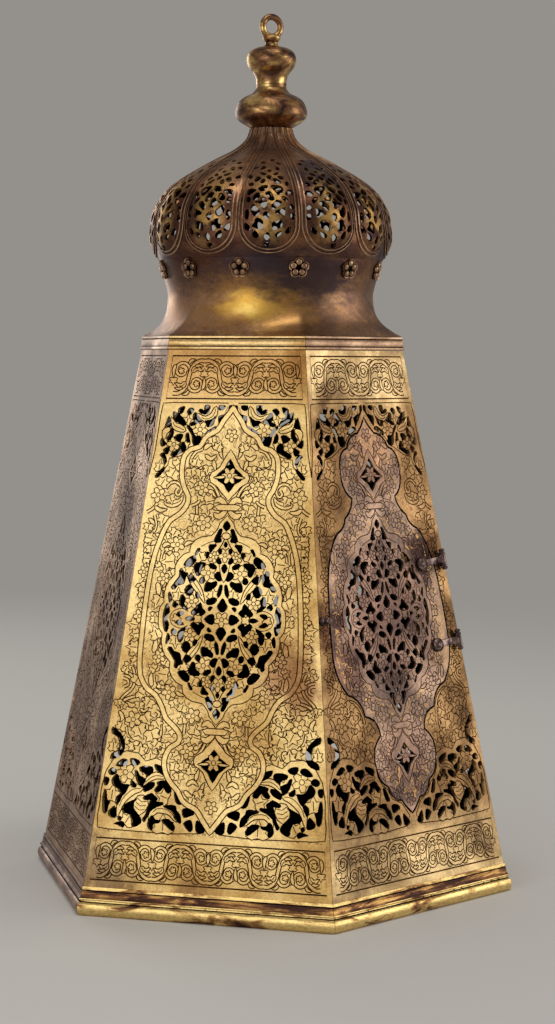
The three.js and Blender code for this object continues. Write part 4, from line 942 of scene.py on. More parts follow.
def side_sheet():
    """A whole face, engraved beside its cartouche. All between the two friezes, up to a plain strip along the
    edges, gets the fine tendrils."""
    sheet = Sheet(face_outline)
    right = [(half_width(v) - PLAIN_EDGE, v) for v in (GROUND_FOOT, GROUND_HEAD)]
    sheet.cut(GROUND, right + flipped(right)[::-1])
    engraved(sheet, SIDE_LEAVES, SIDE_FLOWERS, SIDE_BLADES, SIDE_STEMS, anywhere)
    return sheet


def middle_work(sheet, has_room, tighter=0.0):
    ground(sheet, has_room)
    ties(sheet)
    medallion(sheet, tighter)
    for place in DIAMONDS:
        diamond(sheet, *place)


panel_sheet = side_sheet()
middle_work(panel_sheet, in_cartouche)
corners(panel_sheet)
border(panel_sheet)
for low, high in FRIEZES:
    frieze(panel_sheet, low, high)
panel_mesh = bpy.data.meshes.new("panel")
panel_bm = thick(worked(panel_sheet), SHEET, back_trim, half_width)
bmesh.ops.scale(panel_bm, vec=(MM, MM, MM), verts=panel_bm.verts)
panel_bm.to_mesh(panel_mesh)
panel_bm.free()
panel_tones = {1: far_side, 2: far_side, 3: mauve, 4: mauve, 5: gilt}
for k, tone in panel_tones.items():
    mesh = panel_mesh.copy()
    side = on_side(k)
    side.translation *= MM
    mesh.transform(side)
    piece_of(f"pierced_panel_{k}", mesh, [tone[0], graved, soot_and_painted_shadow, tone[0], tone[1]], "lantern", "panel_brass",
             f"panel_{k}")


# Door panel: the sixth side, sawn out along the leaf's lobed outline. Its ground beside the leaf is engraved
# and its corners are open like the other sides'.
DOOR_GAP = 0.7
LEAF_TIP = (0, 333)
LEAF_STEPS = [
    (3.5, 326, 8.8, 321.5), (17.5, 321, 21.5, 311), (31, 309, 31, 294), (31.5, 280, 22.5, 275),
    (23.5, 267, 32, 261), (33.5, 254, 41.5, 251), (51.5, 241, 56, 220), (60.5, 192, 61, 165),
    (60.5, 149, 50.5, 138), (38.5, 134.5, 36, 121.5), (24, 119, 23, 107), (35.5, 98, 31, 83),
    (29.5, 74, 22, 71), (19.5, 60.5, 9.5, 59.5), (5, 53, 0, 49.5),
]


def bowed(start, steps, pieces=5):
    """A row of bows, each drawn towards its first point and ending at its second."""
    found = [start]
    for bend_x, bend_y, x, y in steps:
        x0, y0 = found[-1]
        for i in range(1, pieces + 1):
            t = i / pieces
            a, b, c = (1 - t) ** 2, 2 * t * (1 - t), t * t
            found.append((a * x0 + b * bend_x + c * x, a * y0 + b * bend_y + c * y))
    return found


LEAF = whole(bowed(LEAF_TIP, LEAF_STEPS))
door_sheet = side_sheet()
corners(door_sheet, tighter=0.15)
door_sheet.cut(HOLE, grown(LEAF, DOOR_GAP))
for low, high in FRIEZES:
    frieze(door_sheet, low, high)
door_bm = thick(worked(door_sheet), SHEET, back_trim, half_width)
door_bm.transform(on_side(0))
finished("door_panel_sheet", door_bm, [door_side[0], graved, soot_and_painted_shadow, door_side[0], door_side[1]], "lantern",
         "panel_brass", "door_panel")


# Door leaf: the piece sawn out of that panel, engraved and pierced like the middle of the other sides. Lamp
# heat and hands have turned it violet-brown, and shadow is painted on it: darker at its lower left edge, and
# a near-black band round its edge for the shadow in the gap. Two rivet holes are left of a hasp.
leaf_side = sheet_brass(
    "gilt brass, burnt violet by the lamp", "#C6A68E", "#A68A78", "#7C6A64", tendrils="#E4B468", worn=0.5,
    patch=34, roughness=(0.34, 0.55),
    stains=[(on_side(0) @ Vector((42, 232, 0)), 20, "#746470", "MULTIPLY", 0.9),
            (on_side(0) @ Vector((-52, 190, 0)), 12, "#8A7884", "MULTIPLY", 0.85),
            (on_side(0) @ Vector((0, 315, 0)), 42, "#F0D0B0", "MULTIPLY", 0.5),
            # painted shadow where the leaf sits back at its lower left edge
            (on_side(0) @ Vector((-58, 150, 0)), 34, "#B4A0A4", "MULTIPLY", 0.8),
            (on_side(0) @ Vector((56, 186, 0)), 13, "#C8A67C", "MIX", 0.35),
            (on_side(0) @ Vector((52, 158, 0)), 15, "#C8A67C", "MIX", 0.35),
            (on_side(0) @ Vector((0, 190, 0)), 62, "#C4B4BC", "MULTIPLY", 0.7),
            (on_side(0) @ Vector((0, 84, 0)), 36, "#CEC0C6", "MULTIPLY", 0.7)])
leaf_cuts = brass("brown graver cuts, rubbed", "#86684E", "#6A5040", "#4C3A32", worn=0.5, patch=20,
                  roughness=(0.4, 0.6))
RIVET_HOLES = ((-46.7, 194.2), (-47, 185.9))
RIVET_RADIUS = 1
GAP_SHADOW_RIM = 0.9
leaf_sheet = Sheet(LEAF)
leaf_sheet.cut(GROUND, grown(LEAF, -3.5))
middle_work(leaf_sheet, in_leaf, tighter=0.3)
# A flush near-black band round the leaf's edge, not raised: painted shadow that makes the gap round the leaf
# look wider.
rim = grown(LEAF, -0.4)
leaf_sheet.band(RIB, rim + rim[:1], GAP_SHADOW_RIM)
for at in RIVET_HOLES:
    leaf_sheet.cut(HOLE, oval(at, RIVET_RADIUS, RIVET_RADIUS, 10))
leaf_bm = thick(worked(leaf_sheet, mirror_line=False), SHEET)
leaf_bm.transform(on_side(0))
finished("door_leaf_sheet", leaf_bm, [leaf_side[0], leaf_cuts, soot_and_painted_shadow, soot_and_painted_shadow, leaf_side[1]], "door",
         "door_brass", "door_leaf")


# Hinges: cast brass. A strap on the leaf ends in a dished boss over its rivet and rolls into a barrel, a
# bracket with two ears is soldered on the panel, and a pin with a bead at each end joins them.
hinge_tone = brass("cast brass, dark with handling", "#B8A094", "#6A5654", "#40343A", worn=0.5, patch=9,
                   roughness=(0.22, 0.45))
PIN_HEIGHT = 3.4
PIN_RADIUS = 1.0
BARREL_RADIUS = 2.0
STRAP_WIDTH = 5.0
STRAP_THICKNESS = 1.2
BOSS_DISTANCE = 21.0
HINGE_PLACES = {"lower": 167, "upper": 226.5}
HINGE_INSET = 4.4
SKEW = math.atan((FOOT_RADIUS - HEAD_RADIUS) / 2 / SLANT)
EAR_START, EAR_END = STRAP_WIDTH / 2 + 0.4, STRAP_WIDTH / 2 + 2.6
BORE_RADIUS = PIN_RADIUS + 0.3
EAR_RADIUS = 2.2


def softened(bm, width, segments=2, angle=35):
    """Rounds the edges that are sharper than the angle."""
    sharp = [e for e in bm.edges if len(e.link_faces) == 2 and e.calc_face_angle(0) > math.radians(angle)]
    bmesh.ops.bevel(bm, geom=sharp, offset=width, segments=segments, profile=0.5, affect="EDGES", material=-1,
                    clamp_overlap=True)


def eased(bm, angle=38):
    """Smooth shading, broken where two faces meet at more than the angle."""
    for face in bm.faces:
        face.smooth = True
    for edge in bm.edges:
        edge.smooth = len(edge.link_faces) == 2 and edge.calc_face_angle(0) < math.radians(angle)


def spun(profile, steps=64, bm=None):
    """A turned shape about the z axis. Its profile is a closed row of points, or one that starts and ends on
    the axis."""
    bm = bm or bmesh.new()
    verts = [bm.verts.new((x, 0, z)) for x, z in profile]
    ring = list(zip(verts, verts[1:]))
    if profile[0][0] > 0:
        ring.append((verts[-1], verts[0]))
    edges = [bm.edges.new(pair) for pair in ring]
    bmesh.ops.spin(bm, geom=verts + edges, cent=(0, 0, 0), axis=(0, 0, 1), angle=2 * math.pi, steps=steps,
                   use_merge=True)
    bmesh.ops.remove_doubles(bm, verts=bm.verts, dist=1e-3)
    bmesh.ops.recalc_face_normals(bm, faces=bm.faces)
    return bm


def drawn_out(outline, low, high):
    """A flat outline in x and z drawn out along y."""
    bm = bmesh.new()
    face = bm.faces.new([bm.verts.new((x, low, z)) for x, z in outline])
    made = bmesh.ops.extrude_face_region(bm, geom=[face], use_keep_orig=True)
    bmesh.ops.translate(bm, verts=new_verts(made), vec=(0, high - low, 0))
    bmesh.ops.recalc_face_normals(bm, faces=bm.faces)
    return bm


def joined(first, *others):
    for other in others:
        mesh = bpy.data.meshes.new("part")
        other.to_mesh(mesh)
        other.free()
        first.from_mesh(mesh)
        bpy.data.meshes.remove(mesh)
    return first


def bore(radius, half, outer, steps=24):
    """A tube along y round the pin."""
    bm = spun([(radius, -half), (outer - 0.2, -half), (outer, -half + 0.2), (outer, half - 0.2),
               (outer - 0.2, half), (radius, half)], steps)
    bmesh.ops.rotate(bm, verts=bm.verts, matrix=Matrix.Rotation(math.pi / 2, 3, "X"))
    return bm


seat = SEAT_GAP - PIN_HEIGHT
top = seat + STRAP_THICKNESS
for place, up in HINGE_PLACES.items():
    at_pin = (
        on_side(0)
        @ Matrix.Translation((half_width(up) - HINGE_INSET / math.cos(SKEW), up, PIN_HEIGHT))
        @ Matrix.Rotation(SKEW, 4, "Z")
    )
    rise = [(-BOSS_DISTANCE, seat), (-5.2, seat), (-3.6, seat + 0.2), (-1.9, -0.9), (-1.4, 1.2), (-3.0, 0.5),
            (-5.6, top), (-BOSS_DISTANCE, top)]
    strap = drawn_out(rise, -STRAP_WIDTH / 2, STRAP_WIDTH / 2)
    softened(strap, 0.3)
    boss = spun([(0, 0), (4.9, 0), (5, 0.3), (4.9, 1.9), (4.4, 2.5), (3.8, 2.3), (3.3, 1.6), (2.7, 1.5),
                 (2.1, 2.2), (1.2, 2.7), (0, 2.9)], 40)
    bmesh.ops.translate(boss, verts=boss.verts, vec=(-BOSS_DISTANCE, 0, seat))
    strap = joined(strap, bore(BORE_RADIUS, STRAP_WIDTH / 2, BARREL_RADIUS), boss)
    eased(strap)
    strap.transform(at_pin)
    finished(f"hinge_strap_and_boss_{place}", strap, [hinge_tone], "door", "hinge_brass",
             f"hinge_strap_{place}")

    plate = drawn_out([(-2.8, seat), (3.8, seat), (3.8, seat + 0.7), (-2.8, seat + 0.7)], -EAR_END, EAR_END)
    softened(plate, 0.25)
    bracket = plate
    for low, high in ((EAR_START, EAR_END), (-EAR_END, -EAR_START)):
        post = drawn_out([(-2.2, seat + 0.2), (2.2, seat + 0.2), (2.1, -0.6), (1.4, -1.5), (-1.4, -1.5),
                          (-2.1, -0.6)], low, high)
        softened(post, 0.2)
        ear = bore(BORE_RADIUS, (high - low) / 2, EAR_RADIUS)
        bmesh.ops.translate(ear, verts=ear.verts, vec=(0, (low + high) / 2, 0))
        bracket = joined(bracket, post, ear)
    eased(bracket)
    bracket.transform(at_pin)
    finished(f"hinge_ears_{place}", bracket, [hinge_tone], "lantern", "hinge_brass", f"hinge_bracket_{place}")

    neck = EAR_END + SEAT_GAP
    bead = smooth([(0.9, 0), (1.9, 0.2), (2.15, 1.1), (1.6, 2.1), (0, 2.5)], 4, closed=False)
    half = [(x, neck + y) for x, y in bead]
    pin = spun([(x, -y) for x, y in half[::-1]] + half, 24)
    bmesh.ops.rotate(pin, verts=pin.verts, matrix=Matrix.Rotation(-math.pi / 2, 3, "X"))
    eased(pin)
    pin.transform(at_pin)
    finished(f"hinge_pin_and_beads_{place}", pin, [hinge_tone], "lantern", "hinge_brass",
             f"hinge_pin_{place}")


# Latch stud: a turned brass knob riveted to the panel beside the leaf, which the lost hasp swung over.
LATCH = (-66, 191)
stud_side = [(3.2, 0), (3.1, 0.8), (1.8, 1.5), (1.8, 4.2), (2.5, 5), (2.5, 6.4), (1.4, 7.4), (0, 7.6)]
stud = spun(smooth(stud_side, 3, closed=False) + [(0, 0)], 32)
eased(stud)
stud.transform(on_side(0) @ Matrix.Translation((*LATCH, SEAT_GAP)))
finished("latch_knob", stud, [hinge_tone], "lantern", "hinge_brass", "latch_stud")


# Foot moulding: six lengths of drawn brass with a half-round bead, a quirk and a hollow, mitred and soldered
# at the corners. The bead is rubbed bright and the quirk is black with dirt.
worn_edge = brass("drawn brass, bead rubbed bright", "#F6D68C", "#B08450", "#543A2E", worn=0.42, patch=30,
                  roughness=(0.2, 0.42), dents=0.45, streak=4.0, edge=0.08)
hollow_tone = brass("drawn brass, brown in its hollow", "#D8AA66", "#8C6040", "#523830", worn=0.52, patch=30,
                    roughness=(0.28, 0.48), dents=0.45, streak=6.0, edge=0.08)
tired_edge = brass("drawn brass, under violet oxide", "#CBAC96", "#9C8074", "#6E5850", worn=0.5, patch=46,
                   roughness=(0.34, 0.5), dents=0.35, streak=6.0)
cornice_gilt = brass("drawn brass, smooth and gilt", "#F2D296", "#CDA468", "#8A6646", worn=0.44, patch=60,
                     roughness=(0.22, 0.42), streak=3.0)
cornice_tired = brass("drawn brass, gilding half gone", "#D8B694", "#B08E74", "#7C6254", worn=0.47, patch=60,
                      roughness=(0.28, 0.48), streak=3.0)
foot_bead = [(2.88 + 2.6 * math.cos(a), 4.8 * (1 + math.sin(a)))
             for a in (math.radians(-90 + 165 * i / 10) for i in range(11))]
seat_slope = (FOOT_RADIUS - HEAD_RADIUS) * FLAT / BODY_RISE
seat_head = SEAT_GAP / math.cos(LEAN)
foot_profile = [(-9, 0)] + foot_bead + [
    (1.4, 9.9), (1.3, 10.7), (3.5, 10.9), (3.7, 11.5), (3.6, 12.2), (2.5, 12.9), (1.95, 14.6), (1.65, 16.4),
    (1.6, 17.1), (1.05, 17.3), (1.05, 17.7), (1.3, 17.9), (0.9, 20), (seat_head, 20),
    (seat_slope * 18 + seat_head, 2), (-9, 2),
]
FOOT_QUIRKS = [(9.5, 10.85), (17.1, 17.8)]
FOOT_HOLLOW = (12.3, 17)
CORNICE_QUIRKS = [(397.2, 398.1), (402.6, 403.5)]
CORNICE_SHARES = [
    (3.9, 0), (0.4, 0), (0.1, 0.03), (0, 0.07), (0, 0.165), (0.2, 0.21), (0.8, 0.24), (0.5, 0.28),
    (0.9, 0.72), (1.5, 0.77), (1.15, 0.8), (1.05, 0.86), (1.1, 0.95), (1.3, 1), (3.9, 1),
]
CORNICE_FOOT = 395.3
CORNICE_HEIGHT = 9.7
CORNICE_REACH = 0.9
cornice_profile = [(CORNICE_REACH - inwards, CORNICE_FOOT + share * CORNICE_HEIGHT)
                   for inwards, share in CORNICE_SHARES]


def mitred(profile, flat_radius, quirks, hollow=(0, 0)):
    """A length of moulding for side 0 with mitred ends. Its quirks and its hollow, each from one height to
    another, have the second and the third material."""
    reach = flat_radius * math.tan(math.pi / SIDES) + 8
    bm = bmesh.new()
    face = bm.faces.new([bm.verts.new((-reach, -(flat_radius + x), z)) for x, z in profile])
    for _ in range(MOULDING_STEPS):
        made = bmesh.ops.extrude_face_region(bm, geom=[face])
        face = new_faces(made)[0]
        bmesh.ops.translate(bm, verts=new_verts(made), vec=(2 * reach / MOULDING_STEPS, 0, 0))
    for side in (1, -1):
        normal = Vector((side * math.cos(math.pi / SIDES), math.sin(math.pi / SIDES), 0))
        cut = bmesh.ops.bisect_plane(bm, geom=bm.verts[:] + bm.edges[:] + bm.faces[:],
                                     plane_co=-normal * SEAT_GAP / 2, plane_no=normal, clear_outer=True)
        ends = [g for g in cut["geom_cut"] if isinstance(g, bmesh.types.BMEdge)]
        bmesh.ops.contextual_create(bm, geom=ends)
    bmesh.ops.recalc_face_normals(bm, faces=bm.faces)
    for face in bm.faces:
        height = face.calc_center_median().z
        if len(face.verts) == 4 and any(low < height < high for low, high in quirks):
            face.material_index = 1
        elif len(face.verts) == 4 and hollow[0] < height < hollow[1]:
            face.material_index = 2
    eased(bm, 50)
    return bm


MOULDING_STEPS = 24
for k in range(SIDES):
    turn = Matrix.Rotation(k * 2 * math.pi / SIDES, 4, "Z")
    foot = mitred(foot_profile, FOOT_RADIUS * FLAT, FOOT_QUIRKS, FOOT_HOLLOW)
    foot.transform(turn)
    tired = panel_tones.get(k) is mauve
    tones = [tired_edge, soot_and_painted_shadow, tired_edge] if tired else [worn_edge, soot_and_painted_shadow, hollow_tone]
    finished(f"foot_mould_{k + 1}", foot, tones, "lantern", "moulding_brass", f"foot_moulding_{k + 1}")
    head = mitred(cornice_profile, HEAD_RADIUS * FLAT, CORNICE_QUIRKS)
    head.transform(turn)
    head_tone = cornice_gilt if panel_tones.get(k) in (gilt, far_side) else cornice_tired
    finished(f"cornice_mould_{k + 1}", head, [head_tone, graved], "lantern", "moulding_brass",
             f"cornice_{k + 1}")


# Cap: raised from one sheet of brass over stakes, from a hexagonal foot to a round drum and twelve lobes.
# Each lobe is outlined by a chased double rib and sawn through. The lamp's heat has made it brown and violet;
# on its front a golden highlight, a near-black reflection and a pink sheen are painted into that colour.
# Of the cap's stains, the first three are a painted golden highlight at the front of the shoulder, the fourth
# is a painted near-black reflection up on the drum, and the sixth is a painted pink sheen on the left of the
# shoulder.
cap_tone = brass("raised brass, heat brown and violet", "#E8B67E", "#A27A5C", "#685252", worn=0.51, patch=58,
                 roughness=(0.24, 0.44), dents=0.25, streak=1.3, belt=(446, 520, "#A8989E"), smear=2.2,
                 stains=[(Vector((-62, -58, 426)), 60, "#C8923E", "MIX", 0.5),
                         (Vector((-66, -45, 427)), 28, "#E4B650", "MIX", 0.66),
                         (Vector((-68, -44, 424)), 13, "#FCDC7C", "MIX", 0.62),
                         (Vector((-32, -76, 447)), 56, "#3E343A", "MIX", 0.88),
                         (Vector((-66, -48, 456)), 30, "#4A3E42", "MIX", 0.6),
                         (Vector((-88, 14, 420)), 50, "#C89A78", "MIX", 0.5),
                         (Vector((-40, -90, 410)), 44, "#5E4640", "MIX", 0.5)])
rubbed = brass("raised brass, edges rubbed", "#D6B08C", "#A88468", "#7A5F50", worn=0.5, patch=14,
               roughness=(0.22, 0.42))
CAP_FOOT = CORNICE_FOOT + CORNICE_HEIGHT + SEAT_GAP
CAP_WALL = 1.9
CAP_CORNER = 100.5
WAIST_HEIGHT = 434.0
WAIST_RADIUS = 76.2
DRUM_TOP = 461.0
DOME_TOP = 558.5
LOBES = 12
LOBE_DEPTH = 4.0
DRUM_FLARE = 6.4
shoulder = smooth([(0, 1, 1), (0.08, 0.8, 0.78), (0.17, 0.63, 0.59), (0.3, 0.42, 0.36), (0.47, 0.24, 0.19),
                   (0.72, 0.07, 0.05), (1, 0, 0)], 3, closed=False)
drum = smooth([(0, 0), (0.15, 0.05), (0.5, 0.42), (0.85, 0.86), (1, 1)], 3, closed=False)
outer = [(WAIST_RADIUS + (CAP_CORNER - WAIST_RADIUS) * c, CAP_FOOT + (WAIST_HEIGHT - CAP_FOOT) * s)
         for s, c, _ in shoulder]
outer += [(WAIST_RADIUS + DRUM_FLARE * r, WAIST_HEIGHT + (DRUM_TOP - WAIST_HEIGHT) * s) for s, r in drum[1:]]
inner = [(r - CAP_WALL, z) for r, z in outer]
cap = spun(outer + inner[::-1], 144)
flat_shares = np.array([(WAIST_RADIUS + (CAP_CORNER * FLAT - WAIST_RADIUS) * f)
                        / (WAIST_RADIUS + (CAP_CORNER - WAIST_RADIUS) * c) for _, c, f in shoulder])
flat_heights = np.array([CAP_FOOT + (WAIST_HEIGHT - CAP_FOOT) * s for s, _, _ in shoulder])
for vert in cap.verts:
    if vert.co.z < WAIST_HEIGHT:
        off_flat = (math.atan2(vert.co.y, vert.co.x) + math.pi / 2) % (math.pi / 3)
        off_flat = min(off_flat, math.pi / 3 - off_flat)
        cornered = (1 / math.cos(off_flat) - 1) / (1 / FLAT - 1)
        share = np.interp(vert.co.z, flat_heights, flat_shares)
        scale = share + (1 - share) * cornered
        vert.co.x *= scale
        vert.co.y *= scale
DOME = [
    (0, 0.899, 0.05), (0.03, 0.928, 0.3), (0.06, 0.952, 0.55), (0.115, 0.986, 0.88), (0.175, 1, 1),
    (0.27, 0.99, 1), (0.36, 0.97, 1), (0.44, 0.92, 1), (0.51, 0.86, 1), (0.575, 0.77, 0.97),
    (0.635, 0.66, 0.9), (0.7, 0.51, 0.78), (0.765, 0.35, 0.65), (0.82, 0.2, 0.52), (0.87, 0.1, 0.4),
    (0.93, 0.03, 0.3), (1, 0, 0.25),
]
NECK_RADIUS = 15.2
DOME_SWELL = 75.0
arch = [(NECK_RADIUS + DOME_SWELL * r, DRUM_TOP + (DOME_TOP - DRUM_TOP) * s, LOBE_DEPTH * d)
        for s, r, d in smooth(DOME, 3, closed=False)]
arch_radius, arch_height, arch_depth = (np.array(column) for column in zip(*arch))
arch_way = np.concatenate([[0], np.cumsum(np.hypot(np.diff(arch_radius), np.diff(arch_height)))])
HALF_LOBE = math.pi / LOBES
PETAL_FOOT = 2.4
PETAL_WIDEST = 25.0
PETAL_RIB = 0.85
RIB_RISE = 0.6


def petal_share(way):
    """How much of the lobe's width the petal takes: it is round at its foot."""
    if way <= PETAL_FOOT:
        return 0
    if way >= PETAL_WIDEST:
        return 1
    return math.sqrt(1 - ((PETAL_WIDEST - way) / (PETAL_WIDEST - PETAL_FOOT)) ** 2)


def lobe_point(turn, way):
    """A point on the lobe's outer surface, turned from its middle, at a way up its arch."""
    radius = np.interp(way, arch_way, arch_radius)
    depth = np.interp(way, arch_way, arch_depth)
    reach = max(petal_share(way), 1e-6)
    across = min(abs(turn) / HALF_LOBE / reach, 1)
    radius += depth * (math.cos(across * math.pi / 2) - 1)
    return Vector((radius * math.sin(turn), -radius * math.cos(turn), np.interp(way, arch_way, arch_height)))


def lobe_edge(way, inset, petal=True):
    width = HALF_LOBE * np.interp(way, arch_way, arch_radius)
    return width * (petal_share(way) if petal else 1) - inset


top_way = arch_way[-1]
rows = [top_way * i / 44 for i in range(45)]
lobe_outline = [(lobe_edge(way, 0, False), way) for way in rows]
lobe_sheet = Sheet(lobe_outline[::-1] + flipped(lobe_outline))
# The sawn net of one petal, across from its middle line and up along its curve. It stops below the neck,
# where the openings shrink to slits.
NET = [
    [(-4, 28), (-2.5, 28.4), (0.8, 26.5), (0.6, 22), (-0.2, 20.2), (-3, 21.5), (-6.2, 22.6), (-5.6, 24),
     (-4.4, 25.8)],
    [(-6, 38), (-5.2, 38.4), (-3.2, 36), (-1.6, 34.5), (-1.8, 31.8), (-4, 30.2), (-5.8, 31.5), (-7, 34),
     (-6.8, 36.5)],
    [(3.2, 33), (4.6, 31.8), (5.2, 30.5), (4, 28.6), (3, 27.6), (2.2, 28.4), (1.4, 30.2), (1.6, 32.2)],
    [(12.6, 27.4), (13.8, 25.5), (13.6, 23), (11, 21.5), (8.4, 20.4), (7.4, 21.5), (7.2, 24.8), (9, 26.2),
     (11.4, 26.8)],
    [(15.6, 36.2), (15.8, 33.5), (15.2, 30), (13.8, 30.6), (12, 31.8), (9.6, 32), (9.4, 33), (11.5, 34.5),
     (13.2, 34.8)],
    [(10.4, 42), (13, 40.6), (12.2, 39), (11, 37.5), (9.4, 36), (8, 34.8), (7, 36), (6.8, 38), (8.4, 39.8),
     (9.4, 41.2)],
    [(1, 44.4), (2.6, 42.8), (3.4, 40), (3, 38), (1.8, 36.2), (0.6, 37), (-0.8, 39.4), (-4, 40),
     (-3.4, 41), (-1, 41.2), (0, 43)],
    [(-2.4, 48), (-1.4, 47.4), (-1.4, 45.2), (-2.8, 43.2), (-4.4, 42.2), (-5.8, 43), (-5.6, 44.6),
     (-4.4, 46.6)],
    [(5.2, 49), (6.4, 47.6), (8, 44.5), (8.2, 42.6), (6.8, 41.4), (5, 42.6), (4, 44.2), (3.2, 46.2),
     (2.6, 47.6), (3.8, 48.8)],
    [(13.2, 44.8), (15, 44.8), (17, 43), (17.6, 41.6), (17, 40.2), (15.8, 41), (14.2, 42.6)],
    [(17.6, 50.2), (19.6, 50), (20, 49), (21.2, 47.2), (19, 46.4), (17.2, 46), (15.6, 47.2), (16.4, 48.8)],
    [(6.2, 54.2), (8.2, 54.8), (11, 54.4), (13.6, 52.6), (14, 50), (12.6, 47.4), (11, 46.4), (9.8, 48),
     (8.2, 50), (6.8, 52)],
    [(0.8, 54.4), (3.6, 54.6), (3.4, 52.2), (1.8, 50), (-0.2, 49.4), (-1.6, 50.6), (-2.4, 51.4), (-0.8, 53)],
    [(-9, 50.6), (-6.6, 51.4), (-4.2, 50.8), (-3.8, 50), (-5.8, 48.4), (-7.8, 46.8), (-9.4, 46.4),
     (-9.8, 48.4)],
    [(-6, 19.8), (-5.2, 20), (-3.2, 18.4), (-2, 16.2), (-2.6, 15), (-4.6, 15), (-6, 17)],
    [(4, 18.4), (5, 17), (5, 14.6), (3.5, 12.6), (2.2, 14), (1.8, 15.6), (2.6, 16.8)],
    [(1.6, 11.2), (3.2, 10.8), (5, 10.6), (4.8, 8.8), (3.4, 7.8), (2.2, 9)],
    [(-10.4, 34.5), (-9, 34.2), (-8.8, 31), (-9.4, 28.2), (-10.6, 28), (-11.4, 30.4), (-11, 33)],
    [(-11.2, 25), (-9.4, 24), (-8, 22), (-8.2, 20.2), (-10.4, 20.4), (-11.8, 22.2)],
    [(18.6, 22.4), (19.6, 21.2), (18.8, 19), (17, 17.8), (15.9, 18.8), (17, 20.8)],
    [(13.4, 19), (12.8, 16.8), (10.6, 15.2), (9.2, 16.2), (10.2, 18), (12, 18.8)],
    [(19.6, 39), (21.6, 37.2), (21.8, 35.6), (20.4, 35.4), (19.2, 37)],
    [(20.2, 32), (22, 31.6), (22.6, 29), (21.2, 27.8), (19.8, 29.6)],
    [(-8.6, 44.6), (-7.6, 42.6), (-8.4, 40.4), (-10, 41), (-10, 43.4)],
    [(4.6, 66.4), (6, 65), (5.6, 62.8), (4.8, 61.6), (3.4, 63), (3.2, 64.8)],
    [(7.8, 62.4), (9.4, 62), (11.2, 60.4), (12.4, 58), (12, 56.4), (10.4, 57), (8.8, 58.6), (7.6, 60.4)],
    [(10.2, 65), (12.6, 65.4), (14.2, 63.8), (13.6, 61.4), (12.2, 61.8)],
    [(-3, 64.4), (-1.2, 64), (-0.8, 62.2), (-2.4, 60), (-4, 58.6), (-4.8, 60), (-4.4, 62)],
    [(1.2, 62), (2.2, 60.8), (1.8, 58.6), (0.4, 57), (-0.8, 57.4), (-0.6, 59.2), (0.2, 61)],
    [(-8.2, 66.6), (-6.8, 65.4), (-7.2, 63), (-9, 62.6), (-9.9, 64.2)],
    [(-6.6, 57.6), (-5.6, 55.4), (-7.6, 54.4), (-9, 56)],
    [(-1.4, 70.2), (0.6, 70), (2.8, 68.2), (2.2, 66.8), (0.4, 66.8)],
    [(7.4, 67.4), (8.8, 66.6), (10.4, 68), (10.2, 70.2), (8.6, 69.4)],
    [(1, 80), (2.2, 79), (1.8, 76.4), (0.2, 74.8), (-1, 74.6), (-0.4, 77.2)],
    [(9.2, 79.2), (10.4, 78), (11.3, 75.4), (10.6, 73.8), (9.4, 75)],
    [(-3.2, 79.8), (-2.8, 78), (-4.6, 76), (-5.8, 76.2), (-5, 78.6)],
    [(4.6, 74.4), (6, 73), (5, 70.8), (3.6, 72.2)],
    [(9.8, 86.8), (11.4, 86), (12, 84.2), (11, 83), (9.8, 84.4)],
    [(0.6, 88.4), (1.8, 86.6), (0.4, 84.6), (-1, 86)],
    [(16.2, 58.6), (17.8, 57.2), (17, 54.6), (15.2, 55.6)],
    [(6.4, 92.4), (8, 91.4), (7, 89), (5.6, 90)],
]
NET_MIDDLE = 5.0
for opening in NET:
    lobe_sheet.cut(HOLE, grown(smooth([(1.08 * (x - NET_MIDDLE), way) for x, way in opening], 2), 0.45))
petal_ways = [PETAL_FOOT + (PETAL_WIDEST - PETAL_FOOT) * (1 - math.cos(i * math.pi / 24)) for i in range(12)]
petal_ways += [way for way in rows if way > PETAL_WIDEST] + [top_way + 3]
petal = [(lobe_edge(way, 0), way) for way in petal_ways]
for inset in (1.2, 3.9):
    rim = grown(petal + flipped(petal[1:])[::-1], -inset)
    for side in (1, -1):
        half = [(side * x, min(way, top_way)) for x, way in rim[:len(petal) - 1] if x > -0.01]
        lobe_sheet.band(RIB, half, PETAL_RIB)
lobe_guides = [[(-edge, way), (edge, way)] for edge, way in lobe_outline[1:-1]]
for share in (-0.8, -0.6, -0.4, -0.2, 0, 0.2, 0.4, 0.6, 0.8):
    lobe_guides.append([(edge * share, way) for edge, way in lobe_outline])
lobe = thick(worked(lobe_sheet, mirror_line=False, guides=lobe_guides), CAP_WALL, rise=RIB_RISE)
for vert in lobe.verts:
    across, way, out = vert.co
    way = min(max(way, 0), top_way)
    turn = across / np.interp(way, arch_way, arch_radius)
    here = lobe_point(turn, way)
    step = 0.4
    down, up = max(way - step, 0), min(way + step, top_way)
    normal = (lobe_point(turn + 0.004, way) - lobe_point(turn - 0.004, way)).cross(
        lobe_point(turn, up) - lobe_point(turn, down)).normalized()
    vert.co = here + normal * out
for i in range(LOBES):
    one = lobe.copy()
    if i % 2:
        bmesh.ops.scale(one, vec=(-1, 1, 1), verts=one.verts)
        bmesh.ops.reverse_faces(one, faces=one.faces)
    one.transform(Matrix.Rotation((i + 0.5) * 2 * HALF_LOBE, 4, "Z"))
    cap = joined(cap, one)
lobe.free()

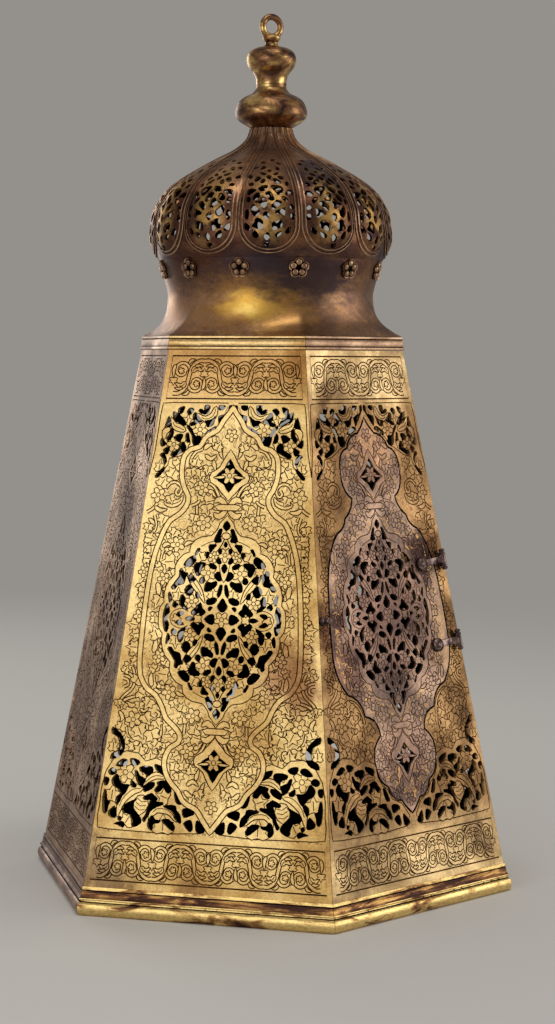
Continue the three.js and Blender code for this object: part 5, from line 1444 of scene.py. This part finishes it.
# The middles of the petals are rubbed to gold in patches.
tree = cap_tone.node_tree
base_colour = tree.nodes["Principled BSDF"].inputs["Base Color"]
tone = base_colour.links[0].from_socket
place = add(tree, "TexCoord", {}).outputs["Object"]
parts = add(tree, "SeparateXYZ", {0: place}).outputs
about = maths(tree, "ARCTAN2", parts["Y"], parts["X"])
from_rib = maths(tree, "PINGPONG", about, HALF_LOBE)
share = 0.8
for limit in (slope(tree, from_rib, 0.35 * HALF_LOBE, 0.75 * HALF_LOBE),
              slope(tree, parts["Z"], 466 * MM, 482 * MM), slope(tree, parts["Z"], 528 * MM, 508 * MM),
              slope(tree, noise(tree, place, 11, 5.0, Roughness=0.65), 0.42, 0.58)):
    share = maths(tree, "MULTIPLY", limit, share)
tree.links.new(mix(tree, share, tone, linear("#DDB068")), base_colour)
cap = joined(cap, spun([(3.4, DOME_TOP - 3.5), (NECK_RADIUS - 1, DOME_TOP - 3.5), (NECK_RADIUS - 1, DOME_TOP),
                        (3.4, DOME_TOP)], 48))
eased(cap)
finished("raised_cap", cap, [cap_tone, graved, soot_and_painted_shadow, rubbed], "lantern", "cap_brass", "cap_shell")


# Rosettes: twelve small stamped flowers soldered round the drum: a lobed rim round five domed petals.
ROSETTE_HEIGHT = 453.5
ROSETTE_SEAT = 81.1
DRUM_LEAN = math.atan(DRUM_FLARE / (DRUM_TOP - WAIST_HEIGHT))
rosette = bmesh.new()
rim = []
for a in (2 * math.pi * i / 60 for i in range(60)):
    reach = 5.9 + 1.7 * abs(math.cos(2.5 * (a - math.pi / 2))) ** 0.8
    rim.append(rosette.verts.new((reach * math.cos(a), reach * math.sin(a), 0)))
base = rosette.faces.new(rim)
made = bmesh.ops.extrude_face_region(rosette, geom=[base], use_keep_orig=True)
bmesh.ops.translate(rosette, verts=new_verts(made), vec=(0, 0, 1.2))
top_face = new_faces(made)
bmesh.ops.inset_region(rosette, faces=top_face, thickness=0.8, depth=-0.6)
for face in top_face:
    face.material_index = 1
bmesh.ops.recalc_face_normals(rosette, faces=rosette.faces)
for i in range(5):
    turn = math.pi / 2 + 2 * math.pi * i / 5
    button = spun([(0, 0.4), (2.1, 0.4), (2.15, 0.9), (1.8, 1.3), (1.1, 1.6), (0, 1.75)], 20)
    spot = (4.1 * math.cos(turn), 4.1 * math.sin(turn), 0)
    bmesh.ops.translate(button, verts=button.verts, vec=spot)
    rosette = joined(rosette, button)
eased(rosette)
for i in range(LOBES):
    one = rosette.copy()
    one.transform(
        Matrix.Rotation(i * 2 * HALF_LOBE, 4, "Z")
        @ Matrix.Translation((0, -ROSETTE_SEAT, ROSETTE_HEIGHT))
        @ Matrix.Rotation(math.pi / 2 + DRUM_LEAN, 4, "X")
    )
    finished(f"rosette_flower_{i + 1}", one, [rubbed, soot_and_painted_shadow], "lantern", "cap_brass", f"rosette_{i + 1}")
rosette.free()


# Finial: two turned knops threaded on a rod, and a suspension eye with its collar screwed down on top.
knop_tone = brass("turned brass, brown with age", "#FFDA8C", "#A67A52", "#4E3834", worn=0.52, patch=20,
                  roughness=(0.16, 0.36), dents=0.15, streak=1.6, edge=0.13)


def knop(seat, radius, height, shares, foot, head):
    side = [(foot, 0)] + [(radius * r, height * h) for r, h in shares] + [(head, height)]
    side = smooth(side, 5, closed=False)
    bm = spun([(3.4, seat + z) for z in (height, 0)] + [(x, seat + z) for x, z in side], 72)
    eased(bm)
    return bm


lower = knop(558.8, 26.6, 31.5, [(0.86, 0.145), (0.975, 0.25), (1, 0.335), (0.985, 0.45), (0.9, 0.61),
                                 (0.765, 0.71), (0.54, 0.805), (0.435, 0.91)], 15.2, 11.1)
finished("knop_lower", lower, [knop_tone], "lantern", "cap_brass", "lower_knop")
upper = knop(590.6, 18.1, 31, [(0.64, 0.15), (0.73, 0.265), (0.915, 0.4), (1, 0.535), (1, 0.645),
                               (0.905, 0.77), (0.66, 0.86), (0.31, 0.915)], 11.1, 4.7)
finished("knop_upper", upper, [knop_tone], "lantern", "cap_brass", "upper_knop")

EYE_MIDDLE = 633.1
EYE_RADIUS = 7.2
EYE_WIRE = 2.4
EYE_TURN = math.radians(-17)
ROD_FOOT = 545.2
ROD_RADIUS = 3.0
collar = spun([(0, ROD_FOOT), (ROD_RADIUS, ROD_FOOT), (ROD_RADIUS, 621.9), (4.4, 621.9), (5.4, 622.6),
               (6.6, 624.2), (6.6, 625.4), (5.6, 626.6), (4.2, 627.4), (0, 627.4)], 40)
ring = bmesh.new()
bmesh.ops.create_circle(ring, segments=20, radius=EYE_WIRE)
bmesh.ops.translate(ring, verts=ring.verts, vec=(EYE_RADIUS, 0, 0))
bmesh.ops.spin(ring, geom=ring.verts[:] + ring.edges[:], cent=(0, 0, 0), axis=(0, 1, 0), angle=2 * math.pi,
               steps=48, use_merge=True)
bmesh.ops.recalc_face_normals(ring, faces=ring.faces)
ring.transform(Matrix.Translation((0, 0, EYE_MIDDLE)) @ Matrix.Rotation(EYE_TURN, 4, "Z"))
eye = joined(collar, ring)
eased(eye)
finished("hanging_eye", eye, [knop_tone], "lantern", "cap_brass", "suspension_eye")


# Inside: a drip pan and a candle socket of sheet brass on the floor plate. Soot has blackened all of it.
pan = spun([(0, 4.6), (38, 4.6), (52, 10), (52, 11.6), (51.2, 12), (50.4, 11.4), (37.2, 6.2), (0, 6.2)], 72)
eased(pan)
finished("drip_pan_dish", pan, [soot_and_painted_shadow], "lantern", "inner_brass", "drip_pan")
socket = spun([(0, 6.5), (19, 6.5), (19, 7.9), (14, 9.4), (12.6, 11), (12.6, 46), (14.4, 47.6), (14.4, 48.5),
               (11, 48.5), (11, 15.5), (0, 15.5)], 48)
eased(socket)
finished("candle_cup", socket, [soot_and_painted_shadow], "lantern", "inner_brass", "candle_socket")
inside_nodes = ["floor_plate", "door_stop_1", "door_stop_2", "rod_washer", "rod_nut"]
inside_nodes += [f"corner_strip_{k + 1}" for k in range(SIDES)]
for name in inside_nodes:
    node = bpy.data.objects[name]
    node.data.materials.clear()
    node.data.materials.append(soot_and_painted_shadow)


# Floor and light
HAZE = "#94918C"


def seen_by(tree, *rays):
    """1 for the kinds of ray that are named, 0 for the others."""
    path = add(tree, "LightPath", {})
    seen = path.outputs[rays[0]]
    for ray in rays[1:]:
        seen = maths(tree, "MAXIMUM", seen, path.outputs[ray])
    return seen


world = bpy.data.worlds.new("studio")
bpy.context.scene.world = world
world.use_nodes = True
tree = world.node_tree
seen = seen_by(tree, "Is Camera Ray", "Is Glossy Ray", "Is Transmission Ray")
backdrop = mix(tree, seen, linear("#9C9C9C"), linear(HAZE))
tree.links.new(backdrop, tree.nodes["Background"].inputs["Color"])

floor_bm = bmesh.new()
bmesh.ops.create_grid(floor_bm, x_segments=1, y_segments=1, size=20)
floor_mesh = bpy.data.meshes.new("floor")
floor_bm.to_mesh(floor_mesh)
floor_bm.free()
floor = bpy.data.objects.new("floor", floor_mesh)
bpy.context.scene.collection.objects.link(floor)
paper = bpy.data.materials.new("matt paper")
paper.use_nodes = True
tree = paper.node_tree
shader = tree.nodes["Principled BSDF"]
shader.inputs["Base Color"].default_value = linear("#DAD7D1")
shader.inputs["Roughness"].default_value = 0.9
place = add(tree, "TexCoord", {}).outputs["Object"]
away = add(tree, "VectorMath", {0: place}, operation="LENGTH").outputs["Value"]
far = add(tree, "MapRange", {"Value": away, "From Min": 0.5, "From Max": 2.2},
          interpolation_type="SMOOTHSTEP")
faded = maths(tree, "MULTIPLY", far.outputs[0], seen_by(tree, "Is Camera Ray", "Is Glossy Ray"))
haze = add(tree, "Emission", {"Color": linear(HAZE)}).outputs[0]
blend = add(tree, "MixShader", {0: faded, 1: shader.outputs[0], 2: haze}).outputs[0]
tree.links.new(blend, tree.nodes["Material Output"].inputs["Surface"])
floor_mesh.materials.append(paper)


def lamp(name, turn, height, distance_m, size, watts):
    data = bpy.data.lights.new(name, "AREA")
    data.shape = "DISK"
    data.size = size
    data.energy = watts
    data.color = (1.0, 0.97, 0.93)
    light = bpy.data.objects.new(name, data)
    a = math.radians(turn)
    light.location = (distance_m * math.cos(a), distance_m * math.sin(a), height)
    aim = Vector((0, 0, 0.3)) - light.location
    light.rotation_euler = aim.to_track_quat("-Z", "Y").to_euler()
    bpy.context.scene.collection.objects.link(light)


lamp("key", -166, 0.68, 1.9, 1.4, 7.5)
lamp("fill", -48, 0.7, 2.2, 1.6, 13.8)
lamp("side", 76, 0.7, 2.2, 1.2, 8)
lamp("top", -120, 2.2, 0.6, 1.2, 8)
